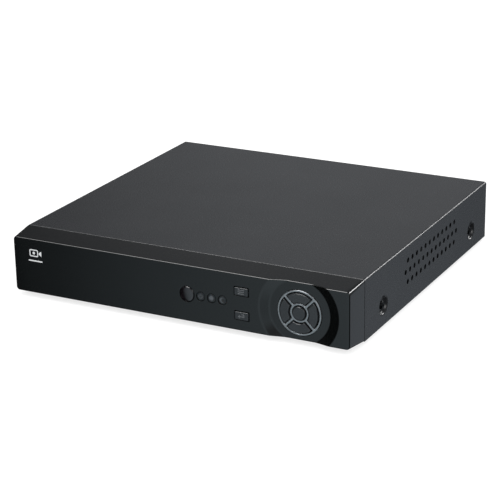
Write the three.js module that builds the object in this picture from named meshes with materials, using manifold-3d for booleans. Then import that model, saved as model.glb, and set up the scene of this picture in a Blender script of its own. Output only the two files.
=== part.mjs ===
// A compact desktop digital video recorder for analogue security cameras: a U-shaped sheet-steel
// cover over a folded steel tray, a hollow plastic front bezel with seven push keys, a 3.5 inch
// hard disk, a main board with its jacks in the rear wall, and a small fan.
//
// Millimetres. Inside the case group x runs right, y runs back from the bezel's front face, and
// z runs up from the underside of the tray. The group then stands the recorder on its feet, with
// the origin at the middle of the floor under it.

import * as THREE from 'three';
import { mergeVertices } from 'three/addons/utils/BufferGeometryUtils.js';
import Module from 'manifold-3d';

const wasm = await Module();
wasm.setup();

// Driving dimensions

const WIDTH = 255;
const DEPTH = 242;
const HEIGHT = 42.5;
const FOOT_HEIGHT = 2.5;
const JACK_REACH = 11;
const KEY_PROUD = 0.7;
const SHEET = 1;
const GAP = 0.3;

const HALF = WIDTH / 2;
const BEZEL_DEPTH = 20;
const BEZEL_WALL = 2.2;
const COVER_FRONT = BEZEL_DEPTH + GAP;
const TRAY_FRONT = BEZEL_DEPTH + 2 * GAP;
const TRAY_HALF = HALF - SHEET - GAP;
const REAR_INNER = DEPTH - SHEET;

const DISH = { x: 90.3, z: 20.5, mouth: 28.1, floor: 21.75, depth: 2.6 };
const NAV = { x: 90.1, z: 20.1, outer: 15.5, inner: 14.15, hub: 6.6, bore: 5.2, web: 1.6 };
const NAV_TOP = DISH.depth - 0.6;
const KEY_TRAVEL = 0.5;
const BOARD_FRONT = 13;
const BOARD_THICK = 1.6;

const SIDE_SCREWS = { y: [50.8, 211.5], z: 14, mouth: 6.5, floor: 4.5, depth: 2.2 };
const VENTS = { y: 134.5, z: 24, pitch: 7.75, rise: 7.65, radius: 1.75, counts: [12, 13, 12] };
const FAN = { y: 134, z: 21.2, size: 40, duct: 18.6, inner: 114.7, outer: 124.7 };
const DISK = { x0: -118, x1: 29, y0: 26, y1: 127.6, z0: 4.3, z1: 30.4 };
const MAIN = { half: 112, y0: 136, y1: 239.5, z0: 7, z1: 8.6 };
const FEET = { x: 105, y: [35, 207], radius: 7 };
const SEAT = MAIN.z1 + GAP;

// Materials

const finish = (color, roughness, metalness) =>
  new THREE.MeshStandardMaterial({ color, roughness, metalness });

const LOOKS = {
  coverPaint: finish(0x46474a, 0.5, 0.3),
  zinc: finish(0xb4b7b8, 0.4, 0.9),
  bezelPlastic: finish(0x17191b, 0.35, 0),
  keyPlastic: finish(0x222528, 0.55, 0),
  trimPlastic: finish(0x34373a, 0.3, 0),
  smokedLens: finish(0x0e0f12, 0.08, 0),
  lightPipe: finish(0x4b4e52, 0.3, 0),
  circuitBoard: finish(0x14502e, 0.45, 0),
  switchPlastic: finish(0x111111, 0.5, 0),
  nickel: finish(0xc6c4bd, 0.28, 1),
  blackScrew: finish(0x191a1b, 0.4, 0.7),
  jackPlastic: finish(0x1c1c1e, 0.5, 0),
  castAluminium: finish(0xa6a8a9, 0.45, 0.8),
  diskSteel: finish(0xc2c4c5, 0.3, 0.9),
  sinkAluminium: finish(0x2c2e31, 0.5, 0.7),
  ribbon: finish(0xd8d8d2, 0.6, 0),
  leadRed: finish(0xa31f1d, 0.55, 0),
  rubber: finish(0x16161a, 0.9, 0),
};

// Solids

const TURNS = {
  x: new THREE.Matrix4().makeBasis(
    new THREE.Vector3(0, 1, 0), new THREE.Vector3(0, 0, 1), new THREE.Vector3(1, 0, 0)),
  y: new THREE.Matrix4().makeBasis(
    new THREE.Vector3(1, 0, 0), new THREE.Vector3(0, 0, 1), new THREE.Vector3(0, -1, 0)),
  z: new THREE.Matrix4(),
};

function solidOf(geometry) {
  geometry.deleteAttribute('normal');
  geometry.deleteAttribute('uv');
  const merged = mergeVertices(geometry, 1e-5);
  return new wasm.Manifold(new wasm.Mesh({
    numProp: 3,
    vertProperties: Float32Array.from(merged.attributes.position.array),
    triVerts: Uint32Array.from(merged.index.array),
  }));
}

function geometryOf(solid) {
  const { vertProperties, triVerts } = solid.getMesh();
  const geometry = new THREE.BufferGeometry();
  geometry.setAttribute('position', new THREE.BufferAttribute(vertProperties, 3));
  geometry.setIndex(new THREE.BufferAttribute(triVerts, 1));
  geometry.computeVertexNormals();
  return geometry;
}

const join = (...solids) => solids.flat().reduce((whole, solid) => whole.add(solid));
const cut = (body, ...tools) => tools.flat().reduce((left, tool) => left.subtract(tool), body);

function block(x0, x1, y0, y1, z0, z1) {
  const geometry = new THREE.BoxGeometry(x1 - x0, y1 - y0, z1 - z0);
  geometry.translate((x0 + x1) / 2, (y0 + y1) / 2, (z0 + z1) / 2);
  return solidOf(geometry);
}

// An outline pulled from start to end along an axis. The outline's own axes are x and y for z,
// x and z for y, and y and z for x.
function plate(outline, axis, start, end, curveSegments = 6) {
  const depth = end - start;
  const geometry = new THREE.ExtrudeGeometry(outline, { depth, bevelEnabled: false, curveSegments });
  geometry.translate(0, 0, axis === 'y' ? -end : start);
  geometry.applyMatrix4(TURNS[axis]);
  return solidOf(geometry);
}

// A round rod or cone along an axis, centred on the two other coordinates.
function rod(axis, [u, v], radius, start, end, sides = 16, endRadius = radius) {
  const geometry = new THREE.CylinderGeometry(endRadius, radius, end - start, sides);
  geometry.translate(0, (start + end) / 2, 0);
  if (axis === 'x') {
    geometry.rotateZ(-Math.PI / 2);
    geometry.translate(0, u, v);
  } else if (axis === 'z') {
    geometry.rotateX(Math.PI / 2);
    geometry.translate(u, v, 0);
  } else {
    geometry.translate(u, 0, v);
  }
  return solidOf(geometry);
}

function pipe(axis, centre, outer, inner, start, end, sides = 16) {
  const hole = rod(axis, centre, inner, start - 1, end + 1, sides);
  return rod(axis, centre, outer, start, end, sides).subtract(hole);
}

function roundedOutline(u0, u1, v0, v1, radius) {
  const outline = new THREE.Shape();
  outline.moveTo(u0 + radius, v0);
  outline.lineTo(u1 - radius, v0);
  outline.absarc(u1 - radius, v0 + radius, radius, -Math.PI / 2, 0);
  outline.absarc(u1 - radius, v1 - radius, radius, 0, Math.PI / 2);
  outline.absarc(u0 + radius, v1 - radius, radius, Math.PI / 2, Math.PI);
  outline.absarc(u0 + radius, v0 + radius, radius, Math.PI, Math.PI * 1.5);
  outline.closePath();
  return outline;
}

function roundedBlock(x0, x1, z0, z1, y0, y1, radius) {
  return plate(roundedOutline(x0, x1, z0, z1, radius), 'y', y0, y1, 3);
}

// The points of a rounded rectangle in x and z, counter-clockwise from its lower right corner.
function roundedRing({ half, z0, z1, radius }, steps = 4) {
  const corners = [[1, z0 + radius], [1, z1 - radius], [-1, z1 - radius], [-1, z0 + radius]];
  return corners.flatMap(([side, z], quarter) => {
    const x = side * (half - radius);
    return Array.from({ length: steps + 1 }, (_, i) => {
      const angle = (quarter - 1 + i / steps) * Math.PI / 2;
      return [x + radius * Math.cos(angle), z + radius * Math.sin(angle)];
    });
  });
}

// A closed skin through rounded rectangles that stand one behind the other along y.
function loft(sections) {
  const rings = sections.map((section) => roundedRing(section));
  const count = rings[0].length;
  const points = rings.flatMap((ring, k) => ring.map(([x, z]) => [x, sections[k].y, z]));
  const faces = [];
  for (let k = 0; k + 1 < rings.length; k += 1) {
    for (let i = 0; i < count; i += 1) {
      const front = [k * count + i, k * count + ((i + 1) % count)];
      const back = front.map((index) => index + count);
      faces.push(front[0], back[0], front[1], front[1], back[0], back[1]);
    }
  }
  const last = (rings.length - 1) * count;
  for (let i = 1; i + 1 < count; i += 1) {
    faces.push(0, i, i + 1, last, last + i + 1, last + i);
  }
  const geometry = new THREE.BufferGeometry();
  geometry.setAttribute('position', new THREE.Float32BufferAttribute(points.flat(), 3));
  geometry.setIndex(faces);
  return solidOf(geometry);
}

// A flat strip of one thickness along a path, as an outline.
function strip(path, thickness) {
  const points = path.getSpacedPoints(24);
  const sides = points.map((point, i) => {
    const before = points[Math.max(i - 1, 0)];
    const after = points[Math.min(i + 1, points.length - 1)];
    const normal = after.clone().sub(before).normalize().multiplyScalar(thickness / 2);
    const across = new THREE.Vector2(-normal.y, normal.x);
    return [point.clone().add(across), point.clone().sub(across)];
  });
  return new THREE.Shape([...sides.map((s) => s[0]), ...sides.map((s) => s[1]).reverse()]);
}

const recorder = new THREE.Group();
const casework = new THREE.Group();
casework.position.set(0, (KEY_PROUD - DEPTH - JACK_REACH) / 2, FOOT_HEIGHT);
recorder.add(casework);

function place(name, solid, look) {
  const mesh = new THREE.Mesh(geometryOf(solid), look.clone());
  mesh.name = name;
  casework.add(mesh);
  return mesh;
}

// Both sides of the case are alike: side is 1 on the right and -1 on the left.
function sideRod(side, centre, radius, start, end, sides, endRadius) {
  return side > 0
    ? rod('x', centre, radius, start, end, sides, endRadius)
    : rod('x', centre, endRadius ?? radius, -end, -start, sides, radius);
}

function sideBlock(side, x0, x1, y0, y1, z0, z1) {
  return side > 0 ? block(x0, x1, y0, y1, z0, z1) : block(-x1, -x0, y0, y1, z0, z1);
}

const SIDES = [1, -1];

// Top cover: one sheet bent down at both sides, with three rows of vents in each side and two
// dimples that sink the heads of the cover screws.

function topCover() {
  const bend = 1.5;
  const outline = new THREE.Shape();
  outline.moveTo(-HALF, 0);
  outline.lineTo(-HALF + SHEET, 0);
  outline.lineTo(-HALF + SHEET, HEIGHT - bend);
  outline.absarc(-HALF + bend, HEIGHT - bend, bend - SHEET, Math.PI, Math.PI / 2, true);
  outline.absarc(HALF - bend, HEIGHT - bend, bend - SHEET, Math.PI / 2, 0, true);
  outline.lineTo(HALF - SHEET, 0);
  outline.lineTo(HALF, 0);
  outline.absarc(HALF - bend, HEIGHT - bend, bend, 0, Math.PI / 2);
  outline.absarc(-HALF + bend, HEIGHT - bend, bend, Math.PI / 2, Math.PI);
  outline.closePath();
  let cover = plate(outline, 'y', COVER_FRONT, DEPTH, 4);

  for (const side of SIDES) {
    for (const y of SIDE_SCREWS.y) {
      const centre = [y, SIDE_SCREWS.z];
      const { mouth, floor, depth } = SIDE_SCREWS;
      const sunk = HALF - depth;
      const cup = sideRod(side, centre, floor + SHEET, sunk - SHEET, HALF - SHEET / 2, 16, mouth + SHEET);
      const dimple = sideRod(side, centre, floor, sunk, HALF + 0.01, 16, mouth);
      const hole = sideRod(side, centre, 1.8, sunk - 2, sunk + 1, 10);
      cover = cover.add(cup).subtract(dimple).subtract(hole);
    }
    VENTS.counts.forEach((count, row) => {
      const z = VENTS.z + (1 - row) * VENTS.rise;
      for (let i = 0; i < count; i += 1) {
        const y = VENTS.y + (i - (count - 1) / 2) * VENTS.pitch;
        cover = cover.subtract(sideRod(side, [y, z], VENTS.radius, HALF - 2, HALF + 1, 6));
      }
    });
  }
  return cover;
}

place('top_cover', topCover(), LOOKS.coverPaint);

// Rear jacks: where each one stands and the hole that it needs in the rear wall.

const CAMERA_JACKS = [96, 76, 56, 36];
const CAMERA_JACK_Z = 17;
const CAMERA_JACK_FRONT = 226;
const AUDIO = { x: 17, z: [15.5, 28.5], front: 228 };
const VGA = { x: -8, z: 15.2, half: 15.4, screw: 12.5, front: 225 };
const HDMI = { x: -34, half: 7.5, z1: SEAT + 6, front: 231, socket: 233 };
const LAN = { x: -54, half: 8, z1: SEAT + 13.5, front: 222 };
const USB = { x: -73, half: 6.8, z1: SEAT + 15.6, front: 226, socket: 231 };
const POWER = { x: -96, half: 4.5, z: 15.2, z1: SEAT + 11, front: 226, socket: 233 };

function shellOutline(x, z, halfWide, halfNarrow, halfTall) {
  return new THREE.Shape([
    new THREE.Vector2(x - halfNarrow, z - halfTall),
    new THREE.Vector2(x + halfNarrow, z - halfTall),
    new THREE.Vector2(x + halfWide, z + halfTall),
    new THREE.Vector2(x - halfWide, z + halfTall),
  ]);
}

function rearHoles() {
  const through = [REAR_INNER - 1, DEPTH + 1];
  const square = ({ x, half, z1 }) =>
    block(x - half - GAP, x + half + GAP, ...through, SEAT - GAP, z1 + GAP);
  return [
    ...CAMERA_JACKS.map((x) => rod('y', [x, CAMERA_JACK_Z], 6.4, ...through, 16)),
    ...AUDIO.z.map((z) => rod('y', [AUDIO.x, z], 5.6, ...through, 16)),
    plate(shellOutline(VGA.x, VGA.z, 9, 8.2, 4.7), 'y', ...through),
    ...SIDES.map((side) => rod('y', [VGA.x + side * VGA.screw, VGA.z], 1.8, ...through, 10)),
    ...[HDMI, LAN, USB, POWER].map(square),
  ];
}

// Base tray: floor, low side flanges, front and rear walls and the tabs that the cover screws
// bite into, all folded from one sheet. Pressed pads carry the disk, and pillars the main board.

const DISK_SCREWS = [
  [DISK.x1 - 41.28, DISK.y0 + 3.18],
  [DISK.x1 - 85.73, DISK.y0 + 3.18],
  [DISK.x1 - 41.28, DISK.y1 - 3.18],
  [DISK.x1 - 85.73, DISK.y1 - 3.18],
];
const PAD_RISE = 3;
const BOARD_PILLARS = [[104, 142], [-104, 142], [104, 232], [-104, 232]];
const HOOKS_X = [-80, 80];
const FRONT_WINDOW = { x0: -14, x1: 118, z0: 6, z1: 35.5 };

function baseTray() {
  const inner = TRAY_HALF - SHEET;
  const lipZ = HEIGHT - SHEET - GAP;
  const walls = [
    block(-TRAY_HALF, TRAY_HALF, TRAY_FRONT, DEPTH, 0, SHEET),
    block(-TRAY_HALF, TRAY_HALF, TRAY_FRONT, TRAY_FRONT + SHEET, 0, lipZ),
    block(-TRAY_HALF, TRAY_HALF, TRAY_FRONT, TRAY_FRONT + 8, lipZ - SHEET, lipZ),
    block(-TRAY_HALF, TRAY_HALF, REAR_INNER, DEPTH, 0, lipZ),
    block(-TRAY_HALF, TRAY_HALF, DEPTH - 8, DEPTH, lipZ - SHEET, lipZ),
  ];
  const tabOuter = HALF - SIDE_SCREWS.depth - SHEET - GAP;
  for (const side of SIDES) {
    walls.push(sideBlock(side, inner, TRAY_HALF, TRAY_FRONT, DEPTH, 0, 5));
    for (const y of SIDE_SCREWS.y) {
      walls.push(sideBlock(side, tabOuter - SHEET, tabOuter, y - 8, y + 8, 4, 23));
      walls.push(sideBlock(side, tabOuter - SHEET, TRAY_HALF, y - 8, y + 8, 4, 5));
    }
  }
  walls.push(block(inner, TRAY_HALF, FAN.y - 21, FAN.y + 21, 0, lipZ - 1));
  for (const centre of DISK_SCREWS) {
    walls.push(rod('z', centre, 8, SHEET / 2, SHEET + PAD_RISE, 14, 6));
  }
  for (const centre of BOARD_PILLARS) {
    walls.push(rod('z', centre, 3.5, SHEET / 2, MAIN.z0 - 0.2, 10));
  }

  const holes = rearHoles();
  for (const side of SIDES) {
    for (const y of SIDE_SCREWS.y) {
      holes.push(sideRod(side, [y, SIDE_SCREWS.z], 1.7, tabOuter - 2, tabOuter + 1, 8));
    }
    for (const y of FEET.y) {
      holes.push(rod('z', [side * FEET.x, y], 2.8, -1, 2, 10));
    }
  }
  holes.push(rod('x', [FAN.y, FAN.z], FAN.duct, inner - 1, TRAY_HALF + 1, 24));
  for (const centre of DISK_SCREWS) {
    holes.push(rod('z', centre, 7, -0.01, PAD_RISE, 14, 5));
    holes.push(rod('z', centre, 2, 1, 6, 10));
  }
  for (const centre of BOARD_PILLARS) {
    holes.push(rod('z', centre, 1.5, 2, MAIN.z0 + 1, 8));
  }
  const { x0, x1, z0, z1 } = FRONT_WINDOW;
  holes.push(block(x0, x1, TRAY_FRONT - 1, TRAY_FRONT + 2, z0, z1));
  for (const x of HOOKS_X) {
    holes.push(block(x - 5, x + 5, TRAY_FRONT - 1, TRAY_FRONT + 2, 1.5, 5.2));
    holes.push(block(x - 5, x + 5, TRAY_FRONT - 1, TRAY_FRONT + 2, 36.4, 40.1));
  }
  return cut(join(walls), holes);
}

place('base_tray', baseTray(), LOOKS.zinc);

// Front bezel: a hollow moulding that tapers towards its front face, with a shallow round dish
// for the key pad, holes for the keys and lenses, and the pegs that carry the key board.

const BEZEL_OUTSIDE = [
  { y: 0, half: HALF - 1.9, z0: 1.8, z1: HEIGHT - 2.2, radius: 2 },
  { y: 0.7, half: HALF - 1.3, z0: 1.35, z1: HEIGHT - 1.7, radius: 2.4 },
  { y: BEZEL_DEPTH, half: HALF, z0: 0, z1: HEIGHT, radius: 1.5 },
];
const BEZEL_INSIDE = [
  { y: BEZEL_WALL, half: HALF - 3.5, z0: 3.4, z1: HEIGHT - 3.7, radius: 0.8 },
  { y: BEZEL_DEPTH + 0.1, half: HALF - 2, z0: 2, z1: HEIGHT - 2, radius: 0.8 },
];
const IR_WINDOW = { x: 9.4, z: 20.5, radius: 5.5 };
const LENSES = [['lens_power', 19.6], ['lens_record', 27.6], ['lens_alarm', 35.6]];
const LENS = { z: 20.4, radius: 3.2 };
const SIDE_KEYS = [['key_menu', 49.8, 28.7], ['key_exit', 49.9, 11.9]];
const SIDE_KEY = { halfWide: 5.5, halfTall: 3.25 };
const KEY_GAP = 0.5;
const BOARD_PEGS = [[-5.5, 20.5], [64.5, 20.5], [114.5, 20.5]];

function frontBezel() {
  const outside = loft(BEZEL_OUTSIDE);
  const backing = rod('y', [DISH.x, DISH.z], DISH.mouth + 1.9, 1.5, DISH.depth + BEZEL_WALL, 40);
  const parts = [cut(outside, loft(BEZEL_INSIDE)), backing.intersect(outside)];
  for (const centre of BOARD_PEGS) {
    parts.push(rod('y', centre, 2.75, 2, BOARD_FRONT - GAP, 10));
    parts.push(rod('y', centre, 1.2, BOARD_FRONT - 1, BOARD_FRONT + 2.5, 8));
    parts.push(rod('y', centre, 2.2, BOARD_FRONT + BOARD_THICK + GAP, BOARD_FRONT + 3, 10));
  }
  for (const x of HOOKS_X) {
    const back = TRAY_FRONT + SHEET;
    parts.push(block(x - 4, x + 4, 14, back + 3.4, 1.9, 3.2));
    parts.push(block(x - 4, x + 4, back + GAP, back + 3.4, 3, 4.3));
    parts.push(block(x - 4, x + 4, 12, BEZEL_DEPTH - 0.2, 38.6, 41));
    parts.push(block(x - 4, x + 4, 14, back + 3.4, 38.4, 39.7));
    parts.push(block(x - 4, x + 4, back + GAP, back + 3.4, 37.3, 38.5));
  }
  const slope = (DISH.mouth - DISH.floor) / DISH.depth;
  const holes = [
    rod('y', [DISH.x, DISH.z], DISH.mouth + slope, -1, DISH.depth, 40, DISH.floor),
    rod('y', [NAV.x, NAV.z], NAV.outer + GAP, 0, 6, 32),
    rod('y', [IR_WINDOW.x, IR_WINDOW.z], IR_WINDOW.radius, -1, 4, 20),
    ...LENSES.map(([, x]) => rod('y', [x, LENS.z], LENS.radius, -1, 4, 16)),
  ];
  const { halfWide, halfTall } = SIDE_KEY;
  for (const [, x, z] of SIDE_KEYS) {
    holes.push(roundedBlock(x - halfWide, x + halfWide, z - halfTall, z + halfTall, -1, 4, 0.7));
  }
  return cut(join(parts), holes);
}

place('front_bezel', frontBezel(), LOOKS.bezelPlastic);

// Pad ring: an outer ring, four diagonal webs and an inner ring that frame the five pad keys. Its
// flange sits behind the floor of the dish.

function padRing() {
  const centre = [NAV.x, NAV.z];
  const webBack = 4.4;
  const flangeFront = DISH.depth + BEZEL_WALL + GAP;
  const web = new THREE.Shape([
    new THREE.Vector2(-NAV.inner - 0.4, -NAV.web / 2),
    new THREE.Vector2(NAV.inner + 0.4, -NAV.web / 2),
    new THREE.Vector2(NAV.inner + 0.4, NAV.web / 2),
    new THREE.Vector2(-NAV.inner - 0.4, NAV.web / 2),
  ]);
  const webs = [45, 135].map((angle) =>
    plate(web, 'y', NAV_TOP, webBack).rotate([0, angle, 0]).translate([NAV.x, 0, NAV.z]));
  const frame = join(
    pipe('y', centre, NAV.outer, NAV.inner, NAV_TOP, flangeFront, 32),
    pipe('y', centre, NAV.outer + 1.2, NAV.inner, flangeFront, flangeFront + 1, 32),
    rod('y', centre, NAV.hub, NAV_TOP, webBack, 24),
    webs,
  );
  return frame.subtract(rod('y', centre, NAV.bore, 0, 6, 24));
}

place('pad_ring', padRing(), LOOKS.trimPlastic);

// Keys: each has a head, a flange that keeps it in its hole and a stem that ends just short of
// its switch. Key faces stand a little proud of what is round them.

const STEM_END = 7.9;
const PAD_KEY_FRONT = NAV_TOP - 1.1;
const PAD_KEY_GAP = 0.6;
const PAD_FLANGE = [4.7, 5.9];
const PAD_KEYS = [['key_right', 0], ['key_up', 90], ['key_left', 180], ['key_down', 270]];
const PAD_STEM = 10.3;

const around = (angle, radius) => [
  NAV.x + radius * Math.cos(THREE.MathUtils.degToRad(angle)),
  NAV.z + radius * Math.sin(THREE.MathUtils.degToRad(angle)),
];

function padSector(inner, outer, webGap, y0, y1) {
  const apex = (NAV.web / 2 + webGap) * Math.SQRT2;
  const wedge = new THREE.Shape([
    new THREE.Vector2(apex, 0),
    new THREE.Vector2(apex + 20, -20),
    new THREE.Vector2(apex + 20, 20),
  ]);
  const ring = pipe('y', [0, 0], outer, inner, y0, y1, 32);
  return ring.intersect(plate(wedge, 'y', y0, y1));
}

function padKey(angle) {
  const gap = PAD_KEY_GAP;
  const head = padSector(NAV.hub + gap, NAV.inner - gap, gap, PAD_KEY_FRONT, 6.5);
  const flange = padSector(NAV.hub - 0.4, NAV.inner - KEY_GAP, -0.3, ...PAD_FLANGE);
  const stem = rod('y', [PAD_STEM, 0], 1.5, 6, STEM_END, 8);
  return join(head, flange, stem).rotate([0, -angle, 0]).translate([NAV.x, 0, NAV.z]);
}

for (const [name, angle] of PAD_KEYS) {
  place(name, padKey(angle), LOOKS.keyPlastic);
}

function okKey() {
  const centre = [NAV.x, NAV.z];
  return join(
    rod('y', centre, NAV.bore - PAD_KEY_GAP, PAD_KEY_FRONT, 6.5, 24),
    rod('y', centre, NAV.bore + 0.5, ...PAD_FLANGE, 24),
    rod('y', centre, 1.5, 6, STEM_END, 8),
  );
}

place('key_ok', okKey(), LOOKS.keyPlastic);

function sideKey(x, z) {
  const wide = SIDE_KEY.halfWide - KEY_GAP;
  const tall = SIDE_KEY.halfTall - KEY_GAP;
  const flange = 1.1;
  return join(
    roundedBlock(x - wide, x + wide, z - tall, z + tall, -KEY_PROUD, 3, 0.6),
    block(x - wide - flange, x + wide + flange, BEZEL_WALL + GAP, 3.7,
      z - tall - flange, z + tall + flange),
    rod('y', [x, z], 1.5, 3, STEM_END, 8),
  );
}

for (const [name, x, z] of SIDE_KEYS) {
  place(name, sideKey(x, z), LOOKS.keyPlastic);
}

// Remote-control window and the three light pipes beside it.

function irWindow() {
  const centre = [IR_WINDOW.x, IR_WINDOW.z];
  const radius = IR_WINDOW.radius - GAP;
  return join(
    rod('y', centre, radius - 1, -0.3, 0.1, 20, radius),
    rod('y', centre, radius, 0, 2.6, 20),
    rod('y', centre, radius + 1.1, BEZEL_WALL + GAP, 3.8, 20),
  );
}

place('ir_window', irWindow(), LOOKS.smokedLens);

function lens(x) {
  return join(
    rod('y', [x, LENS.z], LENS.radius - GAP, 0.2, 2.6, 16),
    rod('y', [x, LENS.z], LENS.radius + 0.6, BEZEL_WALL + GAP, 3.6, 16),
    rod('y', [x, LENS.z], 1.6, 3, BOARD_FRONT - 1.4, 8),
  );
}

for (const [name, x] of LENSES) {
  place(name, lens(x), LOOKS.lightPipe);
}

// Key board: a narrow board on the bezel's pegs, with its light-emitting diodes and the ribbon's
// header soldered on, a switch behind each key and the receiver behind the window.

const RIBBON = { x0: 70, x1: 80, thick: 0.6, frontZ: 11.5, floorZ: 2.2, topZ: 16.4 };
const RIBBON_HEADER = { y: 141, depth: 5, z1: 13 };

function keyBoard() {
  const back = BOARD_FRONT + BOARD_THICK;
  const parts = [block(-10, 118.5, BOARD_FRONT, back, 5, 36)];
  for (const [, x] of LENSES) {
    parts.push(block(x - 1.6, x + 1.6, BOARD_FRONT - 1, BOARD_FRONT + 0.2, LENS.z - 1, LENS.z + 1));
  }
  const { x0, x1, frontZ } = RIBBON;
  parts.push(block(x0 - 1, x1 + 1, back - 0.2, back + 3.8, frontZ - 2.5, frontZ + 2.5));
  parts.push(block(0, 14, back - 0.2, back + 1, 24, 32));
  parts.push(block(30, 38, back - 0.2, back + 1.4, 8, 14));
  const holes = BOARD_PEGS.map((centre) => rod('y', centre, 1.5, BOARD_FRONT - 1, back + 1, 10));
  return cut(join(parts), holes);
}

place('key_board', keyBoard(), LOOKS.circuitBoard);

function tactSwitch(x, z) {
  return join(
    block(x - 3, x + 3, 9.5, BOARD_FRONT - 0.2, z - 3, z + 3),
    rod('y', [x, z], 1.7, STEM_END + KEY_TRAVEL + 0.1, 10, 10),
  );
}

const SWITCHES = [
  ['switch_ok', NAV.x, NAV.z],
  ...PAD_KEYS.map(([name, angle]) => [name.replace('key', 'switch'), ...around(angle, PAD_STEM)]),
  ...SIDE_KEYS.map(([name, x, z]) => [name.replace('key', 'switch'), x, z]),
];

for (const [name, x, z] of SWITCHES) {
  place(name, tactSwitch(x, z), LOOKS.switchPlastic);
}

function irReceiver() {
  const { x, z } = IR_WINDOW;
  return join(
    block(x - 3, x + 3, 8, BOARD_FRONT - 0.2, z - 3.5, z + 3.5),
    rod('y', [x, z], 2, 6.6, 8.2, 16, 2.5),
  );
}

place('ir_receiver', irReceiver(), LOOKS.switchPlastic);

// Ribbon cable: out of the key board, down to the floor, back past the disk and up to the main
// board.

function ribbonCable() {
  const { x0, x1, thick, frontZ, floorZ, topZ } = RIBBON;
  const start = BOARD_FRONT + BOARD_THICK + 3.8 + GAP;
  const rise = MAIN.y0 - 5;
  const end = RIBBON_HEADER.y + RIBBON_HEADER.depth / 2;
  const path = new THREE.Path();
  path.moveTo(start, frontZ);
  path.lineTo(start + 5, frontZ);
  path.quadraticCurveTo(start + 10, frontZ, start + 10, frontZ - 4.5);
  path.quadraticCurveTo(start + 10, floorZ, start + 15, floorZ);
  path.lineTo(rise - 5, floorZ);
  path.quadraticCurveTo(rise, floorZ, rise, floorZ + 5);
  path.quadraticCurveTo(rise, topZ, rise + 7, topZ);
  path.quadraticCurveTo(end, topZ, end, RIBBON_HEADER.z1 + GAP);
  return plate(strip(path, thick), 'x', x0, x1);
}

place('ribbon_cable', ribbonCable(), LOOKS.ribbon);

// Main board: chips, capacitors and headers are soldered on, so they are one piece with it.

const CHIP = { x: 22, y: 184, half: 8 };
const DATA_PLUG = { x: 50, y: 146 };
const POWER_PLUG = { x: 62, y: 146 };

function mainBoard() {
  const { half, y0, y1, z0, z1 } = MAIN;
  const on = z1 - 0.1;
  const parts = [
    block(-half, half, y0, y1, z0, z1),
    block(CHIP.x - CHIP.half, CHIP.x + CHIP.half, CHIP.y - CHIP.half, CHIP.y + CHIP.half, on, z1 + 1.4),
    block(-28, -16, 176, 188, on, z1 + 1.2),
    block(-28, -16, 194, 206, on, z1 + 1.2),
    block(58, 72, 190, 204, on, z1 + 1.4),
    block(84, 98, 190, 204, on, z1 + 1.4),
    block(-92, -82, 176, 186, on, z1 + 4),
    block(-92, -82, 190, 200, on, z1 + 4),
    block(DATA_PLUG.x - 4, DATA_PLUG.x + 4, DATA_PLUG.y, DATA_PLUG.y + 6, on, z1 + 8.4),
    block(POWER_PLUG.x - 5, POWER_PLUG.x + 5, DATA_PLUG.y, DATA_PLUG.y + 6, on, z1 + 7),
    block(RIBBON.x0 - 1, RIBBON.x1 + 1, RIBBON_HEADER.y, RIBBON_HEADER.y + RIBBON_HEADER.depth,
      on, RIBBON_HEADER.z1),
    rod('z', [-60, 160], 11.2, on, z1 + 1.2, 16),
  ];
  for (const [x, y, radius, tall] of [
    [-98, 212, 4, 12], [-86, 212, 4, 12], [-74, 190, 3.2, 8], [0, 160, 3.2, 8], [96, 160, 4, 10],
  ]) {
    parts.push(rod('z', [x, y], radius, on, z1 + tall, 12));
  }
  const holes = BOARD_PILLARS.map((centre) => rod('z', centre, 1.6, z0 - 1, z1 + 1, 8));
  return cut(join(parts), holes);
}

place('main_board', mainBoard(), LOOKS.circuitBoard);

function heatSink() {
  const z = MAIN.z1 + 1.4 + GAP;
  const half = 17.5;
  const parts = [block(CHIP.x - half, CHIP.x + half, CHIP.y - half, CHIP.y + half, z, z + 2)];
  const fins = 9;
  for (let i = 0; i < fins; i += 1) {
    const x = CHIP.x - half + (i * (2 * half - 1.2)) / (fins - 1);
    parts.push(block(x, x + 1.2, CHIP.y - half, CHIP.y + half, z + 1.5, z + 12));
  }
  return join(parts);
}

place('heat_sink', heatSink(), LOOKS.sinkAluminium);
place('coin_cell', rod('z', [-60, 160], 10, MAIN.z1 + 1.5, MAIN.z1 + 4.7, 24), LOOKS.nickel);
place(
  'buzzer',
  cut(rod('z', [-36, 160], 6, SEAT, SEAT + 8.5, 20), rod('z', [-36, 160], 1, SEAT + 6, SEAT + 9, 8)),
  LOOKS.switchPlastic,
);

for (const [i, [x, y]] of BOARD_PILLARS.slice(0, 2).entries()) {
  const screw = join(
    rod('z', [x, y], 1.1, 3, SEAT + 0.2, 8),
    rod('z', [x, y], 2.7, SEAT, SEAT + 1.6, 12, 2.2),
  );
  const slot = join(
    block(x - 1.6, x + 1.6, y - 0.35, y + 0.35, SEAT + 0.8, SEAT + 2),
    block(x - 0.35, x + 0.35, y - 1.6, y + 1.6, SEAT + 0.8, SEAT + 2),
  );
  place(`board_screw_${i + 1}`, screw.subtract(slot), LOOKS.nickel);
}

// Rear jacks

function cameraJack(x) {
  const centre = [x, CAMERA_JACK_Z];
  const end = DEPTH + JACK_REACH;
  const shell = join(
    block(x - 7.2, x + 7.2, CAMERA_JACK_FRONT, REAR_INNER - GAP, SEAT, SEAT + 15),
    rod('y', centre, 6, REAR_INNER - 1, DEPTH + 1.6, 16),
    rod('y', centre, 4.85, DEPTH + 1, end, 16),
    rod('x', [end - 3, CAMERA_JACK_Z], 1, x - 5.8, x + 5.8, 6),
  );
  const core = join(
    rod('y', centre, 2.5, end - 10, end - 2, 10).subtract(rod('y', centre, 0.8, end - 6, end, 6)),
  );
  return shell.subtract(rod('y', centre, 4.1, end - 9, end + 1, 16)).add(core);
}

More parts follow.
